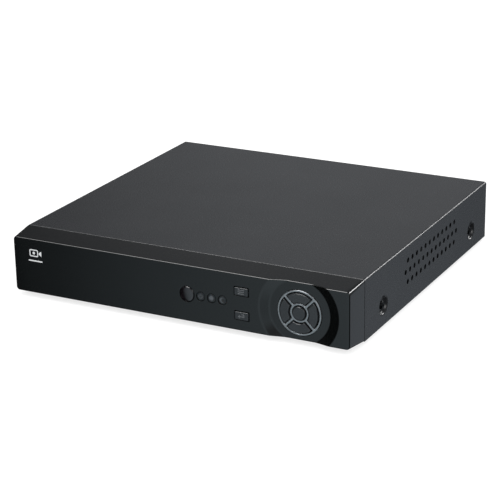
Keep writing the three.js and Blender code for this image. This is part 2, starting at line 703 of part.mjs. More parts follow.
CAMERA_JACKS.forEach((x, i) => place(`camera_jack_${i + 1}`, cameraJack(x), LOOKS.nickel));

function audioJacks() {
  const { x, z, front } = AUDIO;
  const parts = [block(x - 5.4, x + 5.4, front, REAR_INNER - GAP, SEAT, 35)];
  const holes = [];
  for (const height of z) {
    parts.push(rod('y', [x, height], 5.2, REAR_INNER - 1, DEPTH + 1.4, 16));
    parts.push(rod('y', [x, height], 4.15, DEPTH + 1, DEPTH + 9.5, 16));
    holes.push(rod('y', [x, height], 1.7, DEPTH - 4, DEPTH + 10, 10));
  }
  return cut(join(parts), holes);
}

place('audio_jacks', audioJacks(), LOOKS.jackPlastic);

function vgaPort() {
  const { x, z, half, screw, front } = VGA;
  const parts = [
    block(x - half, x + half, front, REAR_INNER - GAP, SEAT, z + 6.3),
    plate(shellOutline(x, z, 8.6, 7.8, 4.3), 'y', REAR_INNER - 1, DEPTH + 5.6),
  ];
  for (const side of SIDES) {
    parts.push(rod('y', [x + side * screw, z], 1.4, REAR_INNER - 1, DEPTH + 1, 8));
    parts.push(rod('y', [x + side * screw, z], 2.7, DEPTH + GAP, DEPTH + 5, 6));
  }
  const mouth = plate(shellOutline(x, z, 8, 7.2, 3.7), 'y', DEPTH + 0.5, DEPTH + 6);
  const insert = plate(shellOutline(x, z, 7.6, 6.8, 3.3), 'y', DEPTH, DEPTH + 5);
  return cut(join(parts), mouth).add(insert);
}

place('vga_port', vgaPort(), LOOKS.nickel);

function hdmiPort() {
  const { x, half, z1, front, socket } = HDMI;
  const z = (SEAT + z1) / 2;
  return join(
    cut(
      block(x - half, x + half, front, DEPTH + 1, SEAT, z1),
      plate(shellOutline(x, z, 6.9, 5.6, 2.3), 'y', socket, DEPTH + 2),
    ),
    block(x - 5.6, x + 5.6, socket - 1, DEPTH, z + 0.1, z + 1.3),
  );
}

place('hdmi_port', hdmiPort(), LOOKS.nickel);

const LAN_SOCKET = { half: 5.9, z0: SEAT + 2, z1: SEAT + 9.6, back: 229, latch: 3.1 };
const LATCH_TOP = SEAT + 11.8;

function lanPort() {
  const { x, half, z1, front } = LAN;
  const socket = LAN_SOCKET;
  return cut(
    block(x - half, x + half, front, DEPTH + 0.8, SEAT, z1),
    block(x - socket.half, x + socket.half, socket.back, DEPTH + 2, socket.z0, socket.z1),
    block(x - socket.latch, x + socket.latch, socket.back + 3, DEPTH + 2, socket.z1 - 1, LATCH_TOP),
  );
}

place('lan_port', lanPort(), LOOKS.nickel);

function usbPort() {
  const { x, half, z1, front, socket } = USB;
  let port = block(x - half, x + half, front, DEPTH + 1, SEAT, z1);
  for (const z of [SEAT + 1.3, SEAT + 9.2]) {
    port = port.subtract(block(x - 6.1, x + 6.1, socket, DEPTH + 2, z, z + 5.1));
    port = port.add(block(x - 5.3, x + 5.3, socket - 1, DEPTH - 0.4, z + 2.7, z + 4.6));
  }
  return port;
}

place('usb_port', usbPort(), LOOKS.nickel);

function powerInlet() {
  const { x, half, z, z1, front, socket } = POWER;
  const body = block(x - half, x + half, front, DEPTH + 0.8, SEAT, z1);
  const bore = rod('y', [x, z], 3.15, socket, DEPTH + 2, 16);
  return body.subtract(bore).add(rod('y', [x, z], 1, socket - 1, DEPTH - 0.5, 8));
}

place('power_inlet', powerInlet(), LOOKS.jackPlastic);

// Hard disk: a cast box with a pressed lid and its board in a recess underneath. What turns
// inside it is sealed in.

function diskCasting() {
  const { x0, x1, y0, y1, z0, z1 } = DISK;
  const top = z1 - 2.4;
  const body = plate(roundedOutline(x0, x1, y0, y1, 3), 'z', z0, top, 3);
  const tools = [
    plate(roundedOutline(x0 + 5, x1 - 12, y0 + 5, y1 - 5, 8), 'z', z0 + 5, top + 1, 4),
    block(x0 + 48, x1 - 4, y0 + 8, y1 - 8, z0 - 1, z0 + 2),
    block(x1 - 5, x1 + 1, y0 + 30, y0 + 76, z0 - 1, z0 + 8),
  ];
  for (const [x, y] of DISK_SCREWS) {
    tools.push(rod('z', [x, y], 1.9, z0 - 1, z0 + 4.5, 8));
  }
  return cut(body, tools);
}

function diskLid() {
  const { x0, x1, y0, y1, z1 } = DISK;
  const plateSolid = plate(roundedOutline(x0 + 1, x1 - 6, y0 + 1, y1 - 1, 5), 'z', z1 - 2.1, z1 - 0.9, 4);
  const raised = plate(roundedOutline(x0 + 8, x0 + 100, y0 + 5, y1 - 5, 20), 'z', z1 - 1, z1, 6);
  return plateSolid.add(raised);
}

function diskBoard() {
  const { x0, x1, y0, y1, z0 } = DISK;
  return join(
    block(x0 + 48.3, x1 - 4.3, y0 + 8.3, y1 - 8.3, z0 + 0.3, z0 + 1.6),
    block(x1 - 4.5, x1 - 0.4, y0 + 31, y0 + 75, z0 + 0.3, z0 + 1.6),
    block(x1 - 2.6, x1 - 0.4, y0 + 33, y0 + 73, z0 + 1.4, z0 + 6.5),
  );
}

place('disk_casting', diskCasting(), LOOKS.castAluminium);
place('disk_lid', diskLid(), LOOKS.diskSteel);
place('disk_board', diskBoard(), LOOKS.circuitBoard);

DISK_SCREWS.forEach(([x, y], i) => {
  const seat = PAD_RISE - 0.2;
  const slot = join(
    block(x - 1.9, x + 1.9, y - 0.4, y + 0.4, seat - 2.5, seat - 0.9),
    block(x - 0.4, x + 0.4, y - 1.9, y + 1.9, seat - 2.5, seat - 0.9),
  );
  const screw = join(
    rod('z', [x, y], 2.6, seat - 1.9, seat, 12, 3.2),
    rod('z', [x, y], 1.5, seat - 0.1, DISK.z0 + 4, 8),
  );
  place(`disk_screw_${i + 1}`, screw.subtract(slot), LOOKS.blackScrew);
});

// Disk leads: a flat data lead and a flat power lead, each with a plug at both ends, standing on
// edge between the disk and the main board.

function diskLead(plugY, plugHalf, target, wide, thick) {
  const x = DISK.x1 + GAP;
  const z = DISK.z0 + 1.7;
  const out = x + 12;
  const path = new THREE.Path();
  path.moveTo(out, plugY);
  path.lineTo(out + 2, plugY);
  path.quadraticCurveTo(target.x, plugY, target.x, plugY + 12);
  path.lineTo(target.x, MAIN.y0 - 1);
  return join(
    block(x, out + 0.5, plugY - plugHalf, plugY + plugHalf, z, z + 6.5),
    plate(strip(path, thick), 'z', z + 0.3, z + 0.3 + wide),
    block(target.x - 4.4, target.x + 4.4, MAIN.y0 - 4, target.y - GAP, SEAT + 0.3, SEAT + 6.9),
  );
}

place('disk_data_lead', diskLead(DISK.y0 + 66, 6, DATA_PLUG, 6.6, 1.5), LOOKS.leadRed);
place('disk_power_lead', diskLead(DISK.y0 + 44, 11, POWER_PLUG, 7, 2), LOOKS.switchPlastic);

// Fan: a square frame that blows out through the right-hand vents, and a seven-bladed rotor.

function fanFrame() {
  const { y, z, size, duct, inner, outer } = FAN;
  const square = roundedOutline(y - size / 2, y + size / 2, z - size / 2, z + size / 2, 2.5);
  const frame = cut(plate(square, 'x', inner, outer, 3), rod('x', [y, z], duct, inner - 1, outer + 1, 32));
  const struts = [0, 1, 2].map((i) =>
    block(0, 1.6, -duct - 0.5, 0, -1.2, 1.2).rotate([i * 120, 0, 0]).translate([inner, y, z]));
  const corners = [-16, 16].flatMap((dy) => [-16, 16].map((dz) => [y + dy, z + dz]));
  const holes = corners.map((centre) => rod('x', centre, 1.6, inner - 1, outer + 1, 8));
  return cut(join(frame, struts, rod('x', [y, z], 9, inner, inner + 2.6, 18)), holes);
}

function fanRotor() {
  const { y, z, inner, outer } = FAN;
  const back = inner + 3;
  const front = outer - 0.5;
  const middle = (back + front) / 2;
  const blades = 7;
  const parts = [rod('x', [y, z], 9.5, back, front, 21)];
  for (let i = 0; i < blades; i += 1) {
    const blade = block(-3.7, 3.7, 8.8, 17.5, -0.45, 0.45).rotate([0, 40, 0]);
    parts.push(blade.rotate([(i * 360) / blades, 0, 0]).translate([middle, y, z]));
  }
  return join(parts);
}

place('fan_frame', fanFrame(), LOOKS.jackPlastic);
place('fan_rotor', fanRotor(), LOOKS.switchPlastic);

// Feet: rubber buttons pushed up through the tray's floor.

let footNumber = 0;
for (const y of FEET.y) {
  for (const side of SIDES) {
    const centre = [side * FEET.x, y];
    footNumber += 1;
    place(`foot_${footNumber}`, join(
      rod('z', centre, FEET.radius - 0.8, -FOOT_HEIGHT, -FOOT_HEIGHT + 0.8, 16, FEET.radius),
      rod('z', centre, FEET.radius, -FOOT_HEIGHT + 0.8, -GAP, 16),
      rod('z', centre, 2.4, -0.5, SHEET + GAP, 8),
      rod('z', centre, 3.6, SHEET + GAP, SHEET + 2.2, 8, 2),
    ), LOOKS.rubber);
  }
}

// Cover screws: cross-head screws, two in each side.

let screwNumber = 0;
for (const side of SIDES) {
  for (const y of SIDE_SCREWS.y) {
    const { z, depth } = SIDE_SCREWS;
    const seat = HALF - depth + 0.2;
    screwNumber += 1;
    place(`cover_screw_${screwNumber}`, cut(
      join(
        sideRod(side, [y, z], 2.9, seat, seat + 1.8, 14, 2.3),
        sideRod(side, [y, z], 1.3, seat - 5, seat + 0.1, 8),
      ),
      sideBlock(side, seat + 0.8, seat + 2, y - 1.7, y + 1.7, z - 0.35, z + 0.35),
      sideBlock(side, seat + 0.8, seat + 2, y - 0.35, y + 0.35, z - 1.7, z + 1.7),
    ), LOOKS.blackScrew);
  }
}

export default recorder;
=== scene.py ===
import math

import bmesh
import bpy
from mathutils import Matrix, Vector


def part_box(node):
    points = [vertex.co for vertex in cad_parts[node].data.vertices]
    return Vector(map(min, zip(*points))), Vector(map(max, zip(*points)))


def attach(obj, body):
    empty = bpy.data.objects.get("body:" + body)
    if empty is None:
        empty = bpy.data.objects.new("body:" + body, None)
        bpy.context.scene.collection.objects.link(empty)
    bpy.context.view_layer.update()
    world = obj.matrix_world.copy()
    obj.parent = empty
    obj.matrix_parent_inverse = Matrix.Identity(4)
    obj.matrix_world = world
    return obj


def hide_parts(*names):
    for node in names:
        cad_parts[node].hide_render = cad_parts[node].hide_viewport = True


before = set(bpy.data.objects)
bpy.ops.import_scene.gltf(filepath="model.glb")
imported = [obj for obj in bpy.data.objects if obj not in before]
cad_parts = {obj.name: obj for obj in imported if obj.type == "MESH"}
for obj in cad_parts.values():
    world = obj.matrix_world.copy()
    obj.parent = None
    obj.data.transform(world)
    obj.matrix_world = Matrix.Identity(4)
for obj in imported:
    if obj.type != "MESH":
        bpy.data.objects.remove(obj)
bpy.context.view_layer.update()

# Camera: a long lens, well away from the right-hand front corner and above it, as for a
# catalogue. It leans a degree.

CAMERA_AZIMUTH = math.radians(27.625)
CAMERA_ELEVATION = math.radians(20.047)
CAMERA_LEAN = math.radians(-0.972)
CAMERA_DISTANCE = 1.248
CAMERA_AIM = Vector((-0.0033, -0.0116, 0.0137))

towards = Vector((
    math.sin(CAMERA_AZIMUTH) * math.cos(CAMERA_ELEVATION),
    -math.cos(CAMERA_AZIMUTH) * math.cos(CAMERA_ELEVATION),
    math.sin(CAMERA_ELEVATION),
))
level_right = Vector((0, 0, 1)).cross(towards).normalized()
level_up = towards.cross(level_right)
camera_right = level_right * math.cos(CAMERA_LEAN) + level_up * math.sin(CAMERA_LEAN)
camera_up = towards.cross(camera_right)
lens = bpy.data.cameras.new("catalogue_camera")
lens.lens = 125.8
lens.sensor_width = 36
lens.clip_start = 0.05
camera = bpy.data.objects.new("catalogue_camera", lens)
camera.matrix_world = Matrix((
    *[(camera_right[i], camera_up[i], towards[i], 0) for i in range(3)],
    (0, 0, 0, 1),
))
camera.matrix_world.translation = CAMERA_AIM + towards * CAMERA_DISTANCE
bpy.context.collection.objects.link(camera)
bpy.context.scene.camera = camera
bpy.context.scene.view_settings.view_transform = "Standard"


# Floor: a wide white table top, lit from below, so that only a faint shadow lies on it. The
# recorder's gloss doesn't see it, but sees the room's lower half, as when dark cards stand round.

def linear(hex_colour):
    """The linear colour of an sRGB hex value."""
    parts = [int(hex_colour[i:i + 2], 16) / 255 for i in (1, 3, 5)]
    return (*[c / 12.92 if c <= 0.04045 else ((c + 0.055) / 1.055) ** 2.4 for c in parts], 1)


def add(tree, kind, settings=None, links=None):
    """Adds a node. Settings are its own or its sockets' values, or a ramp's stops. Links run from
    sockets, or from a node's first one."""
    node = tree.nodes.new(kind)
    for name, value in (settings or {}).items():
        if name == "stops":
            points = node.color_ramp.elements
            while len(points) < len(value):
                points.new(0.5)
            for point, (at, colour) in zip(points, value):
                point.position = at
                point.color = colour
        elif isinstance(name, str) and hasattr(node, name):
            setattr(node, name, value)
        else:
            node.inputs[name].default_value = value
    for name, source in (links or {}).items():
        tree.links.new(getattr(source, "outputs", [source])[0], node.inputs[name])
    return node


def blank(name):
    """A material with an empty tree."""
    made = bpy.data.materials.new(name)
    made.use_nodes = True
    made.node_tree.nodes.clear()
    return made, made.node_tree


ROOM_LIGHT = 1.25


def lit_white_acrylic():
    # Opal acrylic sheet with a light table under it: white, and faintly grained at 2.5 mm by its
    # matt skin.
    made, tree = blank("lit_white_acrylic")
    place = add(tree, "ShaderNodeTexCoord").outputs["Object"]
    grain = add(tree, "ShaderNodeTexNoise", {"Scale": 1 / 0.0025, "Detail": 3}, {"Vector": place})
    tone = add(tree, "ShaderNodeValToRGB", {"stops": ((0, linear("#f8f8f8")), (1, linear("#ffffff")))},
               {"Fac": grain})
    sheet = add(tree, "ShaderNodeBsdfDiffuse", {"Roughness": 0.5}, {"Color": tone})
    lit = add(tree, "ShaderNodeEmission", {"Strength": ROOM_LIGHT}, {"Color": tone})
    both = add(tree, "ShaderNodeMixShader", {0: 0.6}, {1: sheet, 2: lit})
    add(tree, "ShaderNodeOutputMaterial", links={"Surface": both})
    return made


FLOOR_HALF = 6
floor_mesh = bpy.data.meshes.new("floor")
floor_mesh.from_pydata(
    [(-FLOOR_HALF, -FLOOR_HALF, 0), (FLOOR_HALF, -FLOOR_HALF, 0),
     (FLOOR_HALF, FLOOR_HALF, 0), (-FLOOR_HALF, FLOOR_HALF, 0)], [], [(0, 1, 2, 3)])
floor_mesh.materials.append(lit_white_acrylic())
floor = bpy.data.objects.new("floor", floor_mesh)
floor.location.z = -0.0002
floor.visible_glossy = False
bpy.context.collection.objects.link(floor)


# Room: white all round to the eye. In gloss it is a dim studio: pale towards the front and the
# right-hand side, dark between them and on the left. A lamp overhead, two low behind on the right
# and a weak one in front on the right draw the light lines along the edges.

# The level in each direction of the compass below the horizon, by degrees from +X towards +Y,
# and by height above it.
BELOW = ((-165, 0.01), (-127, 0), (-125, 0.05), (-122.5, 0.3), (-118, 0.55), (-112, 0.7), (-78, 0.75),
         (-62, 0.2), (-50, 0.015), (38, 0.015), (50, 0.33), (58, 0.42), (65, 0.62), (70, 0.1),
         (90, 0.06), (180, 0.03))
ABOVE = ((0, 0.2), (0.3, 0.36), (0.38, 0.37), (0.48, 0.25), (0.6, 0.16), (1, 0.3))
FRONT_TINT, SIDE_TINT, TOP_TINT = (0.84, 1, 1.08), (0.93, 1.02, 1.13), (0.97, 1, 1.05)
# Each lamp's direction, the angles in degrees where it is full and where it ends, and its strength.
LAMPS = (((-0.30, -0.62, 0.73), 8, 26, 11), ((0.34, 0.84, 0.42), 3, 9, 14),
         ((0.49, 0.73, 0.48), 3, 8, 26), ((0.74, -0.54, 0.42), 6, 20, 3))


def tinted(level, tint):
    return (*[level * part for part in tint], 1)


def studio():
    world = bpy.data.worlds.new("studio")
    bpy.context.scene.world = world
    world.use_nodes = True
    tree = world.node_tree
    tree.nodes.clear()
    rays = add(tree, "ShaderNodeLightPath")
    place = add(tree, "ShaderNodeTexCoord").outputs["Generated"]
    unit = add(tree, "ShaderNodeSeparateXYZ", links={0: place})
    compass = add(tree, "ShaderNodeMath", {"operation": "ARCTAN2"},
                  {0: unit.outputs["Y"], 1: unit.outputs["X"]})
    turn = add(tree, "ShaderNodeMapRange", {"From Min": -math.pi, "From Max": math.pi}, {"Value": compass})
    below = add(tree, "ShaderNodeValToRGB", {"stops": [
        ((at + 180) / 360, tinted(level, FRONT_TINT if at < 0 else SIDE_TINT)) for at, level in BELOW]},
        {"Fac": turn})
    above = add(tree, "ShaderNodeValToRGB",
                {"stops": [(at, tinted(level, TOP_TINT)) for at, level in ABOVE]},
                {"Fac": unit.outputs["Z"]})
    left = add(tree, "ShaderNodeMapRange",
               {"From Min": -0.57, "From Max": -0.45, "To Min": 0.3, "To Max": 1.12},
               {"Value": unit.outputs["X"]})
    above = add(tree, "ShaderNodeMixRGB", {"blend_type": "MULTIPLY", "Fac": 1},
                {"Color1": above, "Color2": left})
    horizon = add(tree, "ShaderNodeMapRange", {"From Min": -0.08, "From Max": 0.08},
                  {"Value": unit.outputs["Z"]})
    level = add(tree, "ShaderNodeMixRGB", links={"Fac": horizon, "Color1": below, "Color2": above})
    for lamp, full, none, strength in LAMPS:
        near = add(tree, "ShaderNodeVectorMath",
                   {"operation": "DOT_PRODUCT", 1: Vector(lamp).normalized()}, {0: place})
        glow = add(tree, "ShaderNodeMapRange",
                   {"interpolation_type": "SMOOTHSTEP", "From Min": math.cos(math.radians(none)),
                    "From Max": math.cos(math.radians(full)), "To Max": strength},
                   {"Value": near.outputs["Value"]})
        level = add(tree, "ShaderNodeMixRGB", {"blend_type": "ADD", "Fac": 1},
                    {"Color1": level, "Color2": glow})
    seen = add(tree, "ShaderNodeBackground", links={"Color": level})
    plain = add(tree, "ShaderNodeBackground", {"Color": (1, 1, 1, 1), "Strength": ROOM_LIGHT})
    both = add(tree, "ShaderNodeMixShader", links={0: rays.outputs["Is Glossy Ray"], 1: plain, 2: seen})
    add(tree, "ShaderNodeOutputWorld", links={"Surface": both})


studio()

light = bpy.data.lights.new("overhead_box", "AREA")
light.shape = "RECTANGLE"
light.size, light.size_y = 1.6, 1.2
light.energy = 4
overhead = bpy.data.objects.new("overhead_box", light)
overhead.location = (-0.3, -0.3, 1.6)
overhead.rotation_euler = (-overhead.location).to_track_quat("-Z", "Y").to_euler()
overhead.visible_glossy = False
bpy.context.collection.objects.link(overhead)


# Base tray: galvanised sheet steel, folded, with the walls that the boards, the disk and the
# jacks are fixed to. It stays as it is, with a zinc spangle.

MM = 0.001
case_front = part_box("front_bezel")[0][1]
case_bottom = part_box("base_tray")[0][2]
CASE_PLACE = Matrix.Translation((0, case_front, case_bottom)) @ Matrix.Scale(MM, 4)


def in_case(node):
    """A CAD node's lowest and highest corners in millimetres: right of the middle, back from the
    bezel's front face, and up from the underside of the tray."""
    low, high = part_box(node)
    inverse = CASE_PLACE.inverted()
    return inverse @ Vector(low), inverse @ Vector(high)


def centre_of(node):
    low, high = in_case(node)
    return (low + high) / 2


SHARP = math.radians(38)


def per(size_mm):
    """The scale that gives a pattern features of this size."""
    return 1 / (size_mm * MM)


# Cloudy noise keeps nearly all of its values between these.
NOISE = {"From Min": 0.3, "From Max": 0.7}


def dress(names, material, edge_mm=0):
    """Gives CAD nodes their finish and breaks their edges."""
    for name in names:
        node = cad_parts[name]
        node.data.materials.clear()
        node.data.materials.append(material)
        if edge_mm:
            node.data.shade_smooth()
            node.data.set_sharp_from_angle(angle=SHARP)
            broken = node.modifiers.new("broken_edges", "BEVEL")
            broken.width = edge_mm * MM
            broken.segments = 2
            broken.limit_method = "ANGLE"
            broken.angle_limit = math.radians(50)
            broken.harden_normals = True


def zinc_spangle():
    # Hot-dip galvanised sheet: flat zinc crystals about 4 mm across, each with a grey and a gloss
    # of its own, only just apart.
    made, tree = blank("galvanised_steel")
    place = add(tree, "ShaderNodeTexCoord").outputs["Object"]
    wobble = add(tree, "ShaderNodeTexNoise", {"Scale": per(3), "Detail": 2}, {"Vector": place})
    bent = add(tree, "ShaderNodeMixRGB", {"blend_type": "LINEAR_LIGHT", "Fac": 0.0016},
               {"Color1": place, "Color2": wobble.outputs["Color"]})
    grain = add(tree, "ShaderNodeTexVoronoi", {"Scale": per(4)}, {"Vector": bent})
    shade = add(tree, "ShaderNodeSeparateXYZ", links={0: grain.outputs["Color"]})
    pitting = add(tree, "ShaderNodeTexNoise", {"Scale": per(1.2), "Detail": 3}, {"Vector": place})
    colour = add(tree, "ShaderNodeValToRGB", {"stops": ((0, linear("#aaadae")), (1, linear("#b9bcbd")))},
                 {"Fac": shade})
    gloss = add(tree, "ShaderNodeMapRange", {"To Min": 0.36, "To Max": 0.43}, {"Value": shade})
    relief = add(tree, "ShaderNodeBump", {"Strength": 1, "Distance": 0.01 * MM}, {"Height": pitting})
    finish = add(tree, "ShaderNodeBsdfPrincipled", {"Metallic": 1},
                 {"Base Color": colour, "Roughness": gloss, "Normal": relief})
    add(tree, "ShaderNodeOutputMaterial", links={"Surface": finish})
    return made


dress(["base_tray"], zinc_spangle())


# Feet: moulded rubber buttons with a shallow ring in the sole. Each is pushed up through a hole
# in the tray and held there by its own barb.

def circle(centre, radius, steps):
    u, v = centre
    turns = [2 * math.pi * i / steps for i in range(steps)]
    return [(u + radius * math.cos(a), v + radius * math.sin(a)) for a in turns]


PLACED = {
    "x": lambda u, v, along: (along, u, v),
    "y": lambda u, v, along: (u, along, v),
    "z": lambda u, v, along: (u, v, along),
}


def stack(axis, levels, hollow=False):
    """A closed mesh through outlines that stand at levels along an axis. A hollow one runs from
    its last outline back to its first and has no end faces."""
    count = len(levels[0][0])
    points = [PLACED[axis](u, v, along) for outline, along in levels for u, v in outline]
    faces = []
    pairs = list(range(len(levels) - 1))
    if hollow:
        pairs.append(len(levels) - 1)
    for level in pairs:
        above = (level + 1) % len(levels)
        for i in range(count):
            j = (i + 1) % count
            faces.append((level * count + i, level * count + j, above * count + j, above * count + i))
    if not hollow:
        faces.append(tuple(reversed(range(count))))
        faces.append(tuple((len(levels) - 1) * count + i for i in range(count)))
    return closed_mesh(points, faces)


def closed_mesh(points, faces):
    mesh = bpy.data.meshes.new("made")
    mesh.from_pydata(points, [], faces)
    shape = bmesh.new()
    shape.from_mesh(mesh)
    bmesh.ops.recalc_face_normals(shape, faces=shape.faces)
    shape.to_mesh(mesh)
    shape.free()
    return mesh


def turned(axis, centre, profile, steps):
    """A solid of revolution through (radius, along) pairs."""
    return stack(axis, [(circle(centre, radius, steps), along) for radius, along in profile])


def piece(name, mesh, material, body, stands_for=(), sharp=SHARP):
    """Sets a mesh made in millimetres into the case and says what it stands for."""
    mesh.transform(CASE_PLACE)
    mesh.name = name
    mesh.materials.clear()
    mesh.materials.append(material)
    mesh.shade_smooth()
    mesh.set_sharp_from_angle(angle=sharp)
    made = bpy.data.objects.new(name, mesh)
    bpy.context.collection.objects.link(made)
    even = made.modifiers.new("even_shading", "WEIGHTED_NORMAL")
    even.keep_sharp = True
    even.weight = 90
    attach(made, body)
    if stands_for:
        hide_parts(*stands_for)
    return made


def moulded_rubber():
    # Filled rubber from a blasted mould: nearly black, dull, with a fine tooth.
    made, tree = blank("moulded_rubber")
    place = add(tree, "ShaderNodeTexCoord").outputs["Object"]
    tooth = add(tree, "ShaderNodeTexNoise", {"Scale": per(0.5), "Detail": 4}, {"Vector": place})
    colour = add(tree, "ShaderNodeValToRGB",
                 {"stops": ((0.3, linear("#131315")), (0.7, linear("#1f1f21")))}, {"Fac": tooth})
    gloss = add(tree, "ShaderNodeMapRange", {**NOISE, "To Min": 0.75, "To Max": 0.92}, {"Value": tooth})
    relief = add(tree, "ShaderNodeBump", {"Strength": 1, "Distance": 0.03 * MM}, {"Height": tooth})
    finish = add(tree, "ShaderNodeBsdfPrincipled", {"IOR": 1.52, "Specular IOR Level": 0.3},
                 {"Base Color": colour, "Roughness": gloss, "Normal": relief})
    add(tree, "ShaderNodeOutputMaterial", links={"Surface": finish})
    return made


rubber = moulded_rubber()
for number in (1, 2, 3, 4):
    low, high = in_case(f"foot_{number}")
    middle = centre_of(f"foot_{number}")
    sole = low.z
    profile = [(3.2, sole + 0.7), (3.9, sole + 0.1), (4.4, sole), (6.0, sole), (6.6, sole + 0.25),
               (6.95, sole + 0.7), (7, sole + 1.3), (6.9, -0.4), (6.6, -0.3), (2.4, -0.3), (2.4, 1.2),
               (3.5, 1.35), (3.6, 1.6), (2.0, high.z)]
    piece(f"rubber_foot_{number}", turned("z", (middle.x, middle.y), profile, 48), rubber, "case",
          [f"foot_{number}"])


# Hard disk: a cast aluminium box closed by a pressed steel lid, with its own board in a recess
# underneath. It is bought in and screwed down through the tray.

def moulded(name, dark, light, gloss_range=(0.4, 0.55), tooth_mm=0.6, depth_mm=0.01, **more):
    # Moulded plastic: its colour clouds a little, and the mould's fine tooth varies its gloss.
    made, tree = blank(name)
    place = add(tree, "ShaderNodeTexCoord").outputs["Object"]
    cloud = add(tree, "ShaderNodeTexNoise", {"Scale": per(12), "Detail": 2}, {"Vector": place})
    tooth = add(tree, "ShaderNodeTexNoise", {"Scale": per(tooth_mm), "Detail": 3}, {"Vector": place})
    colour = add(tree, "ShaderNodeValToRGB", {"stops": ((0.3, linear(dark)), (0.7, linear(light)))},
                 {"Fac": cloud})
    gloss = add(tree, "ShaderNodeMapRange", {**NOISE, "To Min": gloss_range[0], "To Max": gloss_range[1]},
                {"Value": tooth})
    relief = add(tree, "ShaderNodeBump", {"Strength": 1, "Distance": depth_mm * MM}, {"Height": tooth})
    finish = add(tree, "ShaderNodeBsdfPrincipled", {"IOR": 1.5, **more},
                 {"Base Color": colour, "Roughness": gloss, "Normal": relief})
    add(tree, "ShaderNodeOutputMaterial", links={"Surface": finish})
    return made


def cast_aluminium():
    # Pressure die-cast aluminium: dull grey with the sandy skin of the die, drawn at 1 mm.
    made, tree = blank("cast_aluminium")
    place = add(tree, "ShaderNodeTexCoord").outputs["Object"]
    cloud = add(tree, "ShaderNodeTexNoise", {"Scale": per(15), "Detail": 3}, {"Vector": place})
    sand = add(tree, "ShaderNodeTexNoise", {"Scale": per(1), "Detail": 5}, {"Vector": place})
    colour = add(tree, "ShaderNodeValToRGB",
                 {"stops": ((0.3, linear("#85888a")), (0.7, linear("#9b9ea0")))}, {"Fac": cloud})
    gloss = add(tree, "ShaderNodeMapRange", {**NOISE, "To Min": 0.42, "To Max": 0.6}, {"Value": sand})
    relief = add(tree, "ShaderNodeBump", {"Strength": 1, "Distance": 0.05 * MM}, {"Height": sand})
    finish = add(tree, "ShaderNodeBsdfPrincipled", {"Metallic": 1},
                 {"Base Color": colour, "Roughness": gloss, "Normal": relief})
    add(tree, "ShaderNodeOutputMaterial", links={"Surface": finish})
    return made


def brushed_steel():
    # Stainless sheet with a brushed grain along its length: fine streaks that spread the glints.
    made, tree = blank("brushed_stainless_steel")
    place = add(tree, "ShaderNodeTexCoord").outputs["Object"]
    along = add(tree, "ShaderNodeMapping", {"Scale": (0.03, 1, 1)}, {"Vector": place})
    streaks = add(tree, "ShaderNodeTexNoise", {"Scale": per(0.8), "Detail": 4}, {"Vector": along})
    colour = add(tree, "ShaderNodeValToRGB",
                 {"stops": ((0.3, linear("#b0b2b3")), (0.7, linear("#c6c8c9")))}, {"Fac": streaks})
    gloss = add(tree, "ShaderNodeMapRange", {**NOISE, "To Min": 0.22, "To Max": 0.36},
                {"Value": streaks})
    relief = add(tree, "ShaderNodeBump", {"Strength": 1, "Distance": 0.006 * MM}, {"Height": streaks})
    finish = add(tree, "ShaderNodeBsdfPrincipled", {"Metallic": 1, "Anisotropic": 0.5},
                 {"Base Color": colour, "Roughness": gloss, "Normal": relief})
    add(tree, "ShaderNodeOutputMaterial", links={"Surface": finish})
    return made


MASK_DARK, MASK_LIGHT, MASKED_COPPER = linear("#0d3a22"), linear("#124628"), linear("#2c6b3c")


def populated_board(name, parts_from_mm):
    # Fibreglass board under green solder mask, with faint copper tracks beneath it. Whatever
    # stands higher than the board is the black epoxy of its chips and plugs.
    made, tree = blank(name)
    place = add(tree, "ShaderNodeTexCoord").outputs["Object"]
    tracks = add(tree, "ShaderNodeTexBrick",
                 {"Scale": per(26), "offset": 0.37, "squash": 0.7, "squash_frequency": 3,
                  "Mortar Size": 0.012, "Mortar Smooth": 0.3,
                  "Color1": MASK_DARK, "Color2": MASK_LIGHT, "Mortar": MASKED_COPPER}, {"Vector": place})
    unit = add(tree, "ShaderNodeSeparateXYZ", links={0: place})
    above = add(tree, "ShaderNodeMath", {"operation": "GREATER_THAN", 1: case_bottom + parts_from_mm * MM},
                {0: unit.outputs["Z"]})
    cloud = add(tree, "ShaderNodeTexNoise", {"Scale": per(4), "Detail": 3}, {"Vector": place})
    epoxy = add(tree, "ShaderNodeValToRGB",
                {"stops": ((0.3, linear("#161617")), (0.7, linear("#232324")))}, {"Fac": cloud})
    base = add(tree, "ShaderNodeMixRGB", links={"Fac": above, "Color1": tracks, "Color2": epoxy})
    gloss = add(tree, "ShaderNodeMapRange", {**NOISE, "To Min": 0.28, "To Max": 0.5}, {"Value": cloud})
    relief = add(tree, "ShaderNodeBump", {"Strength": 1, "Distance": 0.02 * MM},
                 {"Height": tracks.outputs["Fac"]})
    finish = add(tree, "ShaderNodeBsdfPrincipled", {"IOR": 1.55},
                 {"Base Color": base, "Roughness": gloss, "Normal": relief})
    add(tree, "ShaderNodeOutputMaterial", links={"Surface": finish})
    return made


dress(["disk_casting"], cast_aluminium(), 0.4)
dress(["disk_lid"], brushed_steel(), 0.3)
disk_top = in_case("disk_board")[1].z
dress(["disk_board"], populated_board("disk_circuit_board", disk_top), 0.1)


# Disk screws: cross-head machine screws with shallow domed heads, cold-headed from steel and
# plated black. Their heads stand inside pads pressed up in the tray.

def together(meshes):
    shape = bmesh.new()
    for mesh in meshes:
        shape.from_mesh(mesh)
    joined = bpy.data.meshes.new("joined")
    shape.to_mesh(joined)
    shape.free()
    return joined


